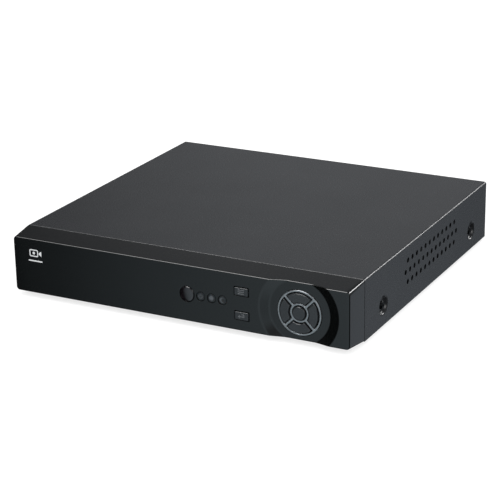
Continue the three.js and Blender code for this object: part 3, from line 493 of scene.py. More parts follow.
def boolean(mesh, tools, operation):
    """Cuts a mesh by others, or joins them to it."""
    target = bpy.data.objects.new("target", mesh)
    tool = bpy.data.objects.new("tool", together(tools))
    for thing in (target, tool):
        bpy.context.collection.objects.link(thing)
    cutter = target.modifiers.new("cut", "BOOLEAN")
    cutter.object = tool
    cutter.operation = operation
    cutter.solver = "EXACT"
    cutter.use_self = len(tools) > 1
    depsgraph = bpy.context.evaluated_depsgraph_get()
    result = bpy.data.meshes.new_from_object(target.evaluated_get(depsgraph))
    for thing in (target, tool):
        bpy.data.objects.remove(thing)
    return result


def cut(mesh, *tools):
    return boolean(mesh, tools, "DIFFERENCE")


def join(mesh, *others):
    return boolean(mesh, others, "UNION")


def plated(name, dark, light, gloss_range, marks_mm=0.6):
    # Plated steel: the plating's own grey, with faint tumbling marks that vary its gloss.
    made, tree = blank(name)
    place = add(tree, "ShaderNodeTexCoord").outputs["Object"]
    marks = add(tree, "ShaderNodeTexNoise", {"Scale": per(marks_mm), "Detail": 5}, {"Vector": place})
    colour = add(tree, "ShaderNodeValToRGB", {"stops": ((0.3, linear(dark)), (0.7, linear(light)))},
                 {"Fac": marks})
    gloss = add(tree, "ShaderNodeMapRange", {**NOISE, "To Min": gloss_range[0], "To Max": gloss_range[1]},
                {"Value": marks})
    relief = add(tree, "ShaderNodeBump", {"Strength": 1, "Distance": 0.004 * MM}, {"Height": marks})
    finish = add(tree, "ShaderNodeBsdfPrincipled", {"Metallic": 1},
                 {"Base Color": colour, "Roughness": gloss, "Normal": relief})
    add(tree, "ShaderNodeOutputMaterial", links={"Surface": finish})
    return made


black_zinc = plated("black_zinc_plated_steel", "#1b1c1d", "#2c2d2e", (0.3, 0.45))


def cross_outline(centre, arm, slot):
    u, v = centre
    corner = [(arm, slot), (slot, slot), (slot, arm)]
    outline = []
    for turn in range(4):
        c, s = [(1, 0), (0, 1), (-1, 0), (0, -1)][turn]
        outline += [(u + p * c - q * s, v + p * s + q * c) for p, q in corner]
    return outline


def screw(axis, centre, seat, out, head_radius, head_height, shank_radius, length):
    """A screw whose head sits at seat and points along out, 1 or -1."""
    head = [(head_radius - 0.25, 0), (head_radius, 0.25), (head_radius, head_height * 0.4),
            (head_radius * 0.93, head_height * 0.68), (head_radius * 0.75, head_height * 0.88),
            (head_radius * 0.45, head_height * 0.98), (0.1, head_height)]
    shank = [(shank_radius * 0.6, -length), (shank_radius, -length + 0.5)]
    along = -length + 0.5
    while along < -0.5:
        shank += [(shank_radius, along + 0.1), (shank_radius * 0.84, along + 0.3)]
        along += 0.5
    shank.append((shank_radius, 0.2))
    body = turned(axis, centre, [(r, seat + out * t) for r, t in shank + head], 32)
    depth = head_height * 0.7
    recess = stack(axis, [
        (cross_outline(centre, head_radius * 0.3, 0.16), seat + out * (head_height - depth)),
        (cross_outline(centre, head_radius * 0.62, 0.3), seat + out * (head_height + 0.1)),
    ])
    return cut(body, recess)


for number in (1, 2, 3, 4):
    seat = in_case(f"disk_screw_{number}")[0].z + 1.9
    middle = centre_of(f"disk_screw_{number}")
    piece(f"disk_screw_{number}_head", screw("z", (middle.x, middle.y), seat, -1, 3.2, 1.9, 1.5, 5.5),
          black_zinc, "case", [f"disk_screw_{number}"])


# Main board: it stands on pillars at the back, with the large chip under a finned heat sink of
# black anodised aluminium, a buzzer, a coin cell in its holder, and two nickel-plated screws.

def anodised_aluminium():
    # Extruded aluminium, dyed black by anodising: a dull satin with the die's drawn lines.
    made, tree = blank("black_anodised_aluminium")
    place = add(tree, "ShaderNodeTexCoord").outputs["Object"]
    along = add(tree, "ShaderNodeMapping", {"Scale": (1, 0.04, 1)}, {"Vector": place})
    lines = add(tree, "ShaderNodeTexNoise", {"Scale": per(0.9), "Detail": 3}, {"Vector": along})
    colour = add(tree, "ShaderNodeValToRGB",
                 {"stops": ((0.3, linear("#1b1c1e")), (0.7, linear("#2a2b2d")))}, {"Fac": lines})
    gloss = add(tree, "ShaderNodeMapRange", {**NOISE, "To Min": 0.38, "To Max": 0.52}, {"Value": lines})
    relief = add(tree, "ShaderNodeBump", {"Strength": 1, "Distance": 0.01 * MM}, {"Height": lines})
    finish = add(tree, "ShaderNodeBsdfPrincipled", {"Metallic": 0.6},
                 {"Base Color": colour, "Roughness": gloss, "Normal": relief})
    add(tree, "ShaderNodeOutputMaterial", links={"Surface": finish})
    return made


bright_nickel = plated("bright_nickel_plate", "#b9b6ae", "#d0cec7", (0.16, 0.28))
MAIN_BOARD_TOP = 8.6
dress(["main_board"], populated_board("main_circuit_board", MAIN_BOARD_TOP + 0.05), 0.15)
dress(["heat_sink"], anodised_aluminium(), 0.1)
dress(["coin_cell"], plated("stainless_coin_cell", "#c2c3c3", "#d2d3d3", (0.14, 0.24), 2), 0.4)
dress(["buzzer"], moulded("black_pbt", "#121213", "#1b1b1c"), 0.3)

for number in (1, 2):
    seat = in_case(f"board_screw_{number}")[1].z - 1.6
    middle = centre_of(f"board_screw_{number}")
    piece(f"board_screw_{number}_head", screw("z", (middle.x, middle.y), seat, 1, 2.7, 1.6, 1.1, 5.9),
          bright_nickel, "case", [f"board_screw_{number}"])


# Camera jacks: bayonet jacks on black blocks. Each has a turned brass shell under bright nickel,
# two lugs, a white PTFE insulator, a gold-plated socket and a round flange against the wall.

WALL_BACK = in_case("base_tray")[1].y
CAMERA_JACK_HEIGHT = 17
block_black = moulded("black_pbt_block", "#0f0f10", "#171718", (0.3, 0.45))
white_ptfe = moulded("white_ptfe", "#d8d8d4", "#e6e6e2", (0.35, 0.5), 1, 0.004, **{"Subsurface Weight": 0.1})
gold_plate = plated("gold_plate", "#c79a45", "#dcb468", (0.15, 0.25), 0.8)


def rounded(u0, u1, v0, v1, radius, steps=5):
    """The outline of a rectangle with round corners."""
    middles = [(u1 - radius, v0 + radius), (u1 - radius, v1 - radius),
               (u0 + radius, v1 - radius), (u0 + radius, v0 + radius)]
    outline = []
    for quarter, (u, v) in enumerate(middles):
        for i in range(steps + 1):
            a = (quarter - 1 + i / steps) * math.pi / 2
            outline.append((u + radius * math.cos(a), v + radius * math.sin(a)))
    return outline


def block(x0, x1, y0, y1, z0, z1, radius=0.5, edge=0.25):
    """A box along the depth with round corners and broken ends."""
    def outline(inset):
        return rounded(x0 + inset, x1 - inset, z0 + inset, z1 - inset, max(radius - inset, 0.05))
    return stack("y", [(outline(edge), y0), (outline(0), y0 + edge),
                       (outline(0), y1 - edge), (outline(edge), y1)])


def bayonet_shell(x, z, end):
    wall = WALL_BACK
    profile = [(5.8, wall - 1.9), (6, wall - 1.7), (6, wall + 1.4), (5.8, wall + 1.6), (4.95, wall + 1.6),
               (4.85, wall + 1.8), (4.85, wall + 2.8), (4.5, wall + 3), (4.5, wall + 3.7),
               (4.85, wall + 3.9), (4.85, end - 0.45), (4.7, end - 0.1), (4.5, end), (4.3, end),
               (4.12, end - 0.25), (4.1, wall + 2)]
    lugs = [turned("x", (end - 3, z), [(0.9, x + side * 4.5), (1, x + side * 4.6), (1, x + side * 5.6),
                                       (0.85, x + side * 5.8)], 20) for side in (1, -1)]
    return join(turned("y", (x, z), profile, 64), *lugs)


for number in (1, 2, 3, 4):
    node = f"camera_jack_{number}"
    low, high = in_case(node)
    x, z, end = (low.x + high.x) / 2, CAMERA_JACK_HEIGHT, high.y
    piece(f"jack_block_{number}", block(low.x, high.x, low.y, WALL_BACK - 1.3, low.z, high.z),
          block_black, "case")
    piece(f"jack_shell_{number}", bayonet_shell(x, z, end), bright_nickel, "case", [node])
    piece(f"jack_insulator_{number}",
          turned("y", (x, z), [(2.5, end - 9.5), (2.5, end - 2.2), (2.3, end - 2), (1.15, end - 2),
                               (1.05, end - 2.2), (1.05, end - 7)], 40), white_ptfe, "case")
    piece(f"jack_socket_{number}",
          turned("y", (x, z), [(1, end - 7), (1, end - 3), (0.85, end - 2.8), (0.55, end - 2.8),
                               (0.5, end - 3), (0.5, end - 6)], 24), gold_plate, "case")


# Sound jacks: a stacked pair of phono jacks in one black block, nickel shells round coloured
# insulators, white for the way in and red for the way out.

low, high = in_case("audio_jacks")
x = (low.x + high.x) / 2
sound_block = block(low.x, high.x, low.y, WALL_BACK - 1.3, low.z, high.z)
piece("sound_block", sound_block, block_black, "case", ["audio_jacks"])
RINGS = ((15.5, moulded("red_abs", "#8e1512", "#a31b17", (0.3, 0.42))),
         (28.5, moulded("ivory_abs", "#cfcdc4", "#dcdad2", (0.3, 0.42))))
for number, (z, colour) in enumerate(RINGS, 1):
    wall = WALL_BACK
    piece(f"phono_flange_{number}",
          turned("y", (x, z), [(5.2, wall - 1.5), (5.2, wall + 1.1), (4.95, wall + 1.4), (4.2, wall + 1.4),
                               (4.1, wall - 1)], 56), colour, "case")
    piece(f"phono_shell_{number}",
          turned("y", (x, z), [(4.05, wall - 1.2), (4.15, wall - 1), (4.15, wall + 9.1), (4, wall + 9.4),
                               (3.7, wall + 9.5), (3.5, wall + 9.4), (3.4, wall + 9.1),
                               (3.4, wall + 0.5)], 56),
          bright_nickel, "case")
    piece(f"phono_insulator_{number}",
          turned("y", (x, z), [(3.38, wall + 0.4), (3.38, wall + 8.6), (3.2, wall + 8.8), (1.9, wall + 8.8),
                               (1.7, wall + 8.6), (1.7, wall + 1)], 56), colour, "case")


# Screen socket: a drawn steel D-shaped shell under nickel round a blue insulator with fifteen
# holes, held to the wall by two hexagonal posts.

def d_outline(x, z, wide, narrow, tall, inset, radius=1.4):
    """A D-shaped outline: wide at the top, with its corners rounded."""
    corners = [(x - narrow + inset, z - tall + inset), (x + narrow - inset, z - tall + inset),
               (x + wide - inset, z + tall - inset), (x - wide + inset, z + tall - inset)]
    outline = []
    for i, (u, v) in enumerate(corners):
        before, after = Vector(corners[i - 1]), Vector(corners[(i + 1) % 4])
        at = Vector((u, v))
        reach = min(radius, (before - at).length / 2.1, (after - at).length / 2.1)
        first = at + (before - at).normalized() * reach
        last = at + (after - at).normalized() * reach
        for k in range(6):
            t = k / 5
            outline.append(tuple(first * (1 - t) ** 2 + at * 2 * t * (1 - t) + last * t * t))
    return outline


SOCKET_HEIGHT = 15.2
POST_SPREAD = 12.5
low, high = in_case("vga_port")
x, z, wall = (low.x + high.x) / 2, SOCKET_HEIGHT, WALL_BACK


def vga_shape(inset):
    return d_outline(x, z, 8.6, 7.8, 4.3, inset)


shell = stack("y", [(vga_shape(0), wall - 1), (vga_shape(0), wall + 5.3),
                    (vga_shape(0.12), wall + 5.6), (vga_shape(0.45), wall + 5.6),
                    (vga_shape(0.55), wall + 5.3), (vga_shape(0.55), wall + 0.3)])
plate_back = block(low.x, high.x, low.y, wall - 1.3, low.z, high.z, 0.8)
piece("screen_block", plate_back, block_black, "case")
piece("screen_shell", shell, bright_nickel, "case", ["vga_port"])
holes = [turned("y", (x + (i - 2) * 2.29 + shift, z + rise), [(0.5, wall + 3), (0.5, wall + 6)], 12)
         for rise, shift in ((1.98, 0.57), (0, -0.57), (-1.98, 0.57)) for i in range(5)]


def insert_shape(inset):
    return d_outline(x, z, 7.85, 7.05, 3.6, inset, 1.1)


insert = stack("y", [(insert_shape(0), wall + 0.2), (insert_shape(0), wall + 4.8),
                     (insert_shape(0.2), wall + 5)])
piece("screen_insert", cut(insert, *holes), moulded("blue_pbt", "#10377c", "#15438f", (0.3, 0.42)),
      "case")


def hex_post(centre):
    post = stack("y", [(circle(centre, 1.4, 24), wall - 1.5), (circle(centre, 1.4, 24), wall + 0.3),
                       (circle(centre, 2.3, 24), wall + 0.31), (circle(centre, 2.7, 24), wall + 0.7),
                       (circle(centre, 2.7, 24), wall + 4.6), (circle(centre, 2.2, 24), wall + 5)])
    flats = stack("y", [(circle(centre, 2.7, 6), wall - 3), (circle(centre, 2.7, 6), wall + 6)])
    bore = turned("y", centre, [(1.15, wall + 1.5), (1.15, wall + 4.7), (1.5, wall + 5.1)], 20)
    return cut(boolean(post, [flats], "INTERSECT"), bore)


for side, name in ((-1, "left"), (1, "right")):
    piece(f"screen_post_{name}", hex_post((x + side * POST_SPREAD, z)), bright_nickel, "case")


# Digital screen, network and data sockets: folded steel shells, tinned or nickel plated, over
# black tongues and blocks with gold-plated contacts. The network socket has two lamps.

DIGITAL_BACK, NETWORK_BACK, DATA_BACK = 233, 229, 231


def contacts(count, x0, x1, y0, y1, z0, z1, share=0.5):
    """A row of flat contacts that fills a share of its width."""
    pitch = (x1 - x0) / count
    return together([block(x0 + pitch * (i + 0.5 - share / 2), x0 + pitch * (i + 0.5 + share / 2),
                           y0, y1, z0, z1, 0.04, 0.03) for i in range(count)])


def folded_shell(low, high, mouths, back):
    """A sheet shell with open mouths whose lips turn a little outwards."""
    body = block(low.x, high.x, low.y, high.y, low.z, high.z, 0.7, 0.2)
    tools = []
    for mouth in mouths:
        tools.append(stack("y", [(mouth(0), back), (mouth(0), high.y - 0.5), (mouth(-0.08), high.y - 0.2),
                                 (mouth(-0.25), high.y + 0.001), (mouth(-0.25), high.y + 1)]))
    return cut(body, *tools)


low, high = in_case("hdmi_port")
x, z = (low.x + high.x) / 2, (low.z + high.z) / 2
piece("digital_shell",
      folded_shell(low, high, [lambda d: d_outline(x, z, 6.9, 5.6, 2.3, d, 0.9)], DIGITAL_BACK),
      bright_nickel, "case", ["hdmi_port"])
piece("digital_tongue",
      block(x - 5.6, x + 5.6, DIGITAL_BACK - 0.5, high.y - 1, z + 0.15, z + 1.1, 0.2, 0.15),
      block_black, "case")
piece("digital_contacts", contacts(10, x - 5, x + 5, DIGITAL_BACK + 1, high.y - 1.4, z + 0.02, z + 0.18),
      gold_plate, "case")

low, high = in_case("lan_port")
x = (low.x + high.x) / 2
LAN_FLOOR, LAN_ROOF, LATCH_ROOF = low.z + 2, low.z + 9.6, low.z + 11.8
piece("network_shell", folded_shell(low, high, [
    lambda d: rounded(x - 5.9 + d, x + 5.9 - d, LAN_FLOOR + d, LAN_ROOF - d, 0.3),
    lambda d: rounded(x - 3.1 + d, x + 3.1 - d, LAN_ROOF - 1, LATCH_ROOF - d, 0.3),
], NETWORK_BACK), bright_nickel, "case", ["lan_port"])
piece("network_insert",
      block(x - 5.8, x + 5.8, NETWORK_BACK + 0.1, NETWORK_BACK + 1.5, LAN_FLOOR + 0.1, LAN_ROOF - 0.1, 0.2),
      block_black, "case")
piece("network_contacts",
      contacts(8, x - 4.4, x + 4.4, NETWORK_BACK + 1.4, NETWORK_BACK + 11,
               LAN_FLOOR + 0.02, LAN_FLOOR + 0.3, 0.45),
      gold_plate, "case")
for side, colour in ((-1, ("#2f8a36", "#3ba042")), (1, ("#b87a12", "#cf8f1d"))):
    lamp = block(x + side * 5.6 - 1.5, x + side * 5.6 + 1.5, high.y - 3, high.y + 0.1,
                 high.z - 3, high.z - 1.2, 0.3, 0.1)
    piece(f"network_lamp_{'left' if side < 0 else 'right'}", lamp,
          moulded("clouded_lamp_" + colour[0][1:], *colour, (0.2, 0.3), 1, 0.003), "case")

low, high = in_case("usb_port")
x = (low.x + high.x) / 2
FLOORS = (low.z + 1.3, low.z + 9.2)
piece("data_shell", folded_shell(low, high, [
    lambda d, floor=floor: rounded(x - 6.1 + d, x + 6.1 - d, floor + d, floor + 5.1 - d, 0.5)
    for floor in FLOORS], DATA_BACK), bright_nickel, "case", ["usb_port"])
for number, floor in enumerate(FLOORS, 1):
    piece(f"data_tongue_{number}",
          block(x - 5.3, x + 5.3, DATA_BACK - 0.5, high.y - 1.4, floor + 2.8, floor + 4.5, 0.25),
          block_black, "case")
    piece(f"data_contacts_{number}",
          contacts(4, x - 4.2, x + 4.2, DATA_BACK + 2, high.y - 2.2, floor + 2.66, floor + 2.84, 0.45),
          gold_plate, "case")


# Power inlet: a round 12 V barrel socket in a moulded black block, with a nickel-plated pin in
# the middle and a sprung sleeve round it.

INLET_BACK = 233
low, high = in_case("power_inlet")
x, z = (low.x + high.x) / 2, SOCKET_HEIGHT
bore = turned("y", (x, z), [(3.15, INLET_BACK), (3.15, high.y - 0.5), (3.25, high.y - 0.15),
                            (3.5, high.y + 0.001), (3.5, high.y + 1)], 40)
piece("power_block", cut(block(low.x, high.x, low.y, high.y, low.z, high.z, 0.6), bore),
      block_black, "case", ["power_inlet"])
piece("power_pin", turned("y", (x, z), [(1, INLET_BACK - 1), (1, high.y - 1.9), (0.85, high.y - 1.5),
                                        (0.5, high.y - 1.3)], 24), bright_nickel, "case")
piece("power_sleeve",
      turned("y", (x, z), [(3.1, INLET_BACK - 0.5), (3.1, high.y - 2.2), (3, high.y - 2),
                           (2.85, high.y - 2.2), (2.85, INLET_BACK + 1)], 40),
      bright_nickel, "case")


# Rear numbers: 1 to 4, one over each camera jack, screen printed in matt black on the zinc of the
# tray's rear wall.

def screen_ink(name, dark, light):
    # Opaque screen ink: matt, with the slight mottle of a mesh print.
    made, tree = blank(name)
    place = add(tree, "ShaderNodeTexCoord").outputs["Object"]
    mottle = add(tree, "ShaderNodeTexNoise", {"Scale": per(0.4), "Detail": 3}, {"Vector": place})
    colour = add(tree, "ShaderNodeValToRGB", {"stops": ((0.3, linear(dark)), (0.7, linear(light)))},
                 {"Fac": mottle})
    gloss = add(tree, "ShaderNodeMapRange", {**NOISE, "To Min": 0.5, "To Max": 0.65}, {"Value": mottle})
    relief = add(tree, "ShaderNodeBump", {"Strength": 1, "Distance": 0.01 * MM}, {"Height": mottle})
    finish = add(tree, "ShaderNodeBsdfPrincipled", {"IOR": 1.5},
                 {"Base Color": colour, "Roughness": gloss, "Normal": relief})
    add(tree, "ShaderNodeOutputMaterial", links={"Surface": finish})
    return made


NUMBER_HEIGHT, NUMBER_SIZE = 27, 4.2


def printed_number(text, x):
    letters = bpy.data.curves.new("number", "FONT")
    letters.body = text
    letters.size = NUMBER_SIZE
    letters.align_x = "CENTER"
    letters.extrude = 0.04
    made = bpy.data.objects.new("number", letters)
    bpy.context.collection.objects.link(made)
    mesh = bpy.data.meshes.new_from_object(made.evaluated_get(bpy.context.evaluated_depsgraph_get()))
    bpy.data.objects.remove(made)
    mesh.transform(Matrix.Translation((x, WALL_BACK + 0.03, NUMBER_HEIGHT)) @ Matrix.Rotation(math.pi, 4, "Z")
                   @ Matrix.Rotation(math.pi / 2, 4, "X"))
    return mesh


numbers = [printed_number(str(number), centre_of(f"camera_jack_{number}").x) for number in (1, 2, 3, 4)]
piece("rear_numbers", together(numbers),
      screen_ink("black_screen_ink", "#141414", "#222222"), "case")


# Leads: a flat red data lead and a flat black power lead in PVC, each moulded into a plug at both
# ends. They run from the disk to the main board.

dress(["disk_data_lead"], moulded("red_pvc", "#8a1513", "#a01b18", (0.4, 0.55), 2, 0.02), 0.3)
dress(["disk_power_lead"], moulded("black_pvc", "#131314", "#1d1d1f", (0.45, 0.6), 2, 0.02), 0.4)


# Fan: a black frame of glass-filled PBT with three struts, and a seven-bladed nylon rotor. It
# stands behind the vents on the right and blows out through them.

fan_black = moulded("black_glass_filled_pbt", "#0d0d0e", "#161617", (0.4, 0.55), 0.8, 0.02)
dress(["fan_frame"], fan_black, 0.25)
dress(["fan_rotor"], moulded("black_fan_nylon", "#111112", "#1a1a1b", (0.32, 0.45), 0.8, 0.01), 0.12)


# Key board: the small board melted on to the bezel's pegs, with a push switch behind each key and
# the remote-control receiver. A white ribbon cable joins it to the main board.

def board_on_edge():
    # The same fibreglass, standing: solder mask with faint copper tracks.
    made, tree = blank("key_circuit_board")
    place = add(tree, "ShaderNodeTexCoord").outputs["Object"]
    flat = add(tree, "ShaderNodeMapping", {"Rotation": (math.pi / 2, 0, 0)}, {"Vector": place})
    tracks = add(tree, "ShaderNodeTexBrick",
                 {"Scale": per(20), "offset": 0.4, "Mortar Size": 0.015, "Mortar Smooth": 0.3,
                  "Color1": MASK_DARK, "Color2": MASK_LIGHT, "Mortar": MASKED_COPPER}, {"Vector": flat})
    cloud = add(tree, "ShaderNodeTexNoise", {"Scale": per(4), "Detail": 3}, {"Vector": place})
    gloss = add(tree, "ShaderNodeMapRange", {**NOISE, "To Min": 0.28, "To Max": 0.45}, {"Value": cloud})
    relief = add(tree, "ShaderNodeBump", {"Strength": 1, "Distance": 0.02 * MM},
                 {"Height": tracks.outputs["Fac"]})
    finish = add(tree, "ShaderNodeBsdfPrincipled", {"IOR": 1.55},
                 {"Base Color": tracks, "Roughness": gloss, "Normal": relief})
    add(tree, "ShaderNodeOutputMaterial", links={"Surface": finish})
    return made


dress(["key_board"], board_on_edge(), 0.15)
switch_nylon = moulded("black_switch_nylon", "#0e0e0f", "#171718", (0.35, 0.5))
dress([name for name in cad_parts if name.startswith("switch_")], switch_nylon, 0.2)
dress(["ir_receiver"], moulded("black_epoxy_receiver", "#0d0a0b", "#151112", (0.25, 0.35)), 0.3)


def ribbon_film():
    # Flat cable: white polyester film over flat wires, which show as ridges a millimetre apart.
    made, tree = blank("white_polyester_ribbon")
    place = add(tree, "ShaderNodeTexCoord").outputs["Object"]
    wires = add(tree, "ShaderNodeTexWave", {"Scale": per(1) / 20, "bands_direction": "X"},
                {"Vector": place}).outputs["Fac"]
    colour = add(tree, "ShaderNodeValToRGB",
                 {"stops": ((0.3, linear("#b9b8b0")), (0.7, linear("#d8d7d0")))}, {"Fac": wires})
    gloss = add(tree, "ShaderNodeMapRange", {**NOISE, "To Min": 0.3, "To Max": 0.4}, {"Value": wires})
    relief = add(tree, "ShaderNodeBump", {"Strength": 1, "Distance": 0.1 * MM}, {"Height": wires})
    finish = add(tree, "ShaderNodeBsdfPrincipled", {"IOR": 1.6},
                 {"Base Color": colour, "Roughness": gloss, "Normal": relief})
    add(tree, "ShaderNodeOutputMaterial", links={"Surface": finish})
    return made


dress(["ribbon_cable"], ribbon_film())


# Front bezel: moulded ABS, 20 mm deep and hollow, tapering forward. A shallow round dish for the
# key pad runs out through its top and bottom edges. Its front edge has a radius of 0.8 mm.

WALL = 2.2
FRONT_RADIUS = 0.8
DISH = {"x": 90.3, "z": 20.5, "mouth": 28.1, "floor": 21.75, "depth": 2.6}
bezel_high = in_case("front_bezel")[1]
BEZEL_BACK = in_case("top_cover")[0].y - 0.3
FACE = {"half": bezel_high.x - 1.3, "z0": 1.35, "z1": bezel_high.z - 1.7, "radius": 2.6}
REAR = {"half": bezel_high.x, "z0": 0.0, "z1": bezel_high.z, "radius": 1.5}
CAVITY_FACE = {"half": bezel_high.x - 3.5, "z0": 3.4, "z1": bezel_high.z - 3.7, "radius": 0.8}
CAVITY_REAR = {"half": bezel_high.x - 2, "z0": 2.0, "z1": bezel_high.z - 2, "radius": 0.8}


def run(first, last, step):
    count = max(1, round((last - first) / step))
    return [first + (last - first) * i / count for i in range(count)]


def columns():
    """Places across the front: closer together by the keys, and closest where the dish is."""
    near, far = DISH["x"] - DISH["mouth"] - 2, DISH["x"] + DISH["mouth"] + 2
    half = FACE["half"]
    places = run(-half, 0, 7) + run(0, near, 0.8) + run(near, far, 0.4) + run(far, half, 2) + [half]
    return [x / half for x in places]


ROWS = 96
CORNER_ROWS = 6


def row_of(section, row):
    """The height of a row and half its length, with the corners rounded."""
    radius = section["radius"]
    half, z0, z1 = section["half"], section["z0"], section["z1"]
    if row <= CORNER_ROWS:
        turn = row / CORNER_ROWS * math.pi / 2
        return z0 + radius * (1 - math.cos(turn)), half - radius * (1 - math.sin(turn))
    if row >= ROWS - CORNER_ROWS:
        turn = (ROWS - row) / CORNER_ROWS * math.pi / 2
        return z1 - radius * (1 - math.cos(turn)), half - radius * (1 - math.sin(turn))
    share = (row - CORNER_ROWS) / (ROWS - 2 * CORNER_ROWS)
    return z0 + radius + (z1 - z0 - 2 * radius) * share, half


def shrunk(section, inset):
    return {"half": section["half"] - inset, "z0": section["z0"] + inset,
            "z1": section["z1"] - inset, "radius": max(section["radius"] - inset, 0.2)}


def ramp_between(share):
    """0 below 0 and 1 above 1, with the two bends rounded off."""
    soft = 0.09

    def lower(t):
        return 0 if t < -soft else (t + soft) ** 2 / (4 * soft) if t < soft else t
    return 1 - lower(1 - lower(share))


def dish_depth(x, z):
    away = math.hypot(x - DISH["x"], z - DISH["z"])
    return DISH["depth"] * ramp_between((DISH["mouth"] - away) / (DISH["mouth"] - DISH["floor"]))


def backing_depth(x, z):
    away = math.hypot(x - DISH["x"], z - DISH["z"])
    return DISH["depth"] * ramp_between((DISH["mouth"] + 2.2 - away) / 0.8)


def skin(face, rear, y_face, y_rear, radius, depth_at, rear_edge):
    """One side of the moulding: a face of rows and columns, a rounded rim and the walls behind.
    Returns points, faces and the indices of the last loop. Where the dish cuts the rim, each
    point slides back along its wall."""
    across = columns()
    rows = ROWS + 1
    tilt_top = (rear["z1"] - face["z1"]) / (y_rear - y_face)
    tilt_low = (face["z0"] - rear["z0"]) / (y_rear - y_face)

    def slid(x, y, z, row, share):
        depth = depth_at(x, z) * share
        up = row / (rows - 1)
        return x, y + depth, z + depth * (tilt_top * up - tilt_low * (1 - up))

    def spot(section, row, u):
        z, reach = row_of(section, row)
        return u * reach, z

    front = shrunk(face, radius)
    points = []
    for row in range(rows):
        for u in across:
            x, z = spot(front, row, u)
            points.append(slid(x, y_face, z, row, 1))
    wide = len(across)
    faces = [(r * wide + c, r * wide + c + 1, (r + 1) * wide + c + 1, (r + 1) * wide + c)
             for r in range(rows - 1) for c in range(wide - 1)]
    loop = ([(0, c) for c in range(wide)] + [(r, wide - 1) for r in range(1, rows)]
            + [(rows - 1, c) for c in range(wide - 2, -1, -1)] + [(r, 0) for r in range(rows - 2, 0, -1)])
    last = [r * wide + c for r, c in loop]
    rings = []
    steps = 5
    if radius:
        for k in range(1, steps + 1):
            turn = k / steps * math.pi / 2
            rings.append((shrunk(face, radius * (1 - math.sin(turn))),
                          y_face + radius * (1 - math.cos(turn)), 1))
    rings.append((rear, y_rear - rear_edge, 0))
    rings.append((shrunk(rear, rear_edge), y_rear, 0))
    for section, y, share in rings:
        start = len(points)
        for row, column in loop:
            x, z = spot(section, row, across[column])
            points.append(slid(x, y, z, row, share))
        ring = list(range(start, start + len(loop)))
        for i in range(len(loop)):
            j = (i + 1) % len(loop)
            faces.append((last[i], last[j], ring[j], ring[i]))
        last = ring
    return points, faces, last


def bezel_shell():
    points, faces, rim = skin(FACE, REAR, 0, BEZEL_BACK, FRONT_RADIUS, dish_depth, 0.25)
    inner, inner_faces, inner_rim = skin(
        CAVITY_FACE, CAVITY_REAR, WALL, BEZEL_BACK, 0, backing_depth, 0.05)
    shift = len(points)
    points += inner
    faces += [tuple(reversed([i + shift for i in face])) for face in inner_faces]
    inner_rim = [i + shift for i in inner_rim]
    for i in range(len(rim)):
        j = (i + 1) % len(rim)
        faces.append((rim[i], rim[j], inner_rim[j], inner_rim[i]))
    return closed_mesh(points, faces)


def flared(outline, y_face, y_back, lip=0.2):
    """A hole punch whose mouth widens at the face by a small lip. outline(d) is d larger."""
    return stack("y", [(outline(0), y_back), (outline(0), y_face + lip),
                       (outline(lip * 0.3), y_face + lip * 0.3), (outline(lip), y_face - 0.002),
                       (outline(lip), y_face - 2)])


def round_hole(centre, radius):
    return lambda d: circle(centre, radius + d, 56)


def oblong(centre, half_wide, half_tall, radius):
    u, v = centre
    return lambda d: rounded(u - half_wide - d, u + half_wide + d, v - half_tall - d,
                             v + half_tall + d, radius + max(d, -radius * 0.7))


def flat_centre(node):
    """A node's middle as seen from the front."""
    middle = centre_of(node)
    return middle.x, middle.z


PAD_CENTRE = flat_centre("pad_ring")
PAD_HOLE, WINDOW_HOLE, LENS_HOLE, OBLONG_HOLE = 15.8, 5.5, 3.2, (5.5, 3.25)
LENS_NODES = ("lens_power", "lens_record", "lens_alarm")
OBLONG_KEYS = ("key_menu", "key_exit")
PEG_PLACES = ((-5.5, 20.5), (64.5, 20.5), (114.5, 20.5))


def bezel_extras():
    """Pegs whose ends are melted over the key board, and the hooks that catch the tray."""
    extras = [turned("y", peg, [(2.75, 3), (2.75, 12.7), (1.2, 12.75), (1.2, 14.9), (2.1, 14.95),
                                (2.2, 15.3), (1.7, 15.9), (0.8, 16)], 20) for peg in PEG_PLACES]
    for x in (-80, 80):
        for z0, z1, tip0, tip1 in ((1.9, 3.2, 3.1, 4.3), (38.4, 39.7, 37.3, 38.5)):
            extras.append(stack("y", [(rounded(x - 4, x + 4, z0, z1, 0.3, 2), 12),
                                      (rounded(x - 4, x + 4, z0, z1, 0.3, 2), 25)]))
            extras.append(stack("y", [(rounded(x - 4, x + 4, tip0, tip1, 0.3, 2), 21.9),
                                      (rounded(x - 4, x + 4, tip0, tip1, 0.3, 2), 25)]))
        extras.append(stack("y", [(rounded(x - 4, x + 4, 38.6, 41, 0.3, 2), 12),
                                  (rounded(x - 4, x + 4, 38.6, 41, 0.3, 2), 19.7)]))
    return extras


def bezel_moulding():
    tools = [
        flared(round_hole(PAD_CENTRE, PAD_HOLE), DISH["depth"], 8),
        flared(round_hole(flat_centre("ir_window"), WINDOW_HOLE), 0, 6, 0.3),
        *[flared(round_hole(flat_centre(node), LENS_HOLE), 0, 6) for node in LENS_NODES],
        *[flared(oblong(flat_centre(node), *OBLONG_HOLE, 0.7), 0, 6, 0.12) for node in OBLONG_KEYS],
    ]
    return join(cut(bezel_shell(), *tools), *bezel_extras())


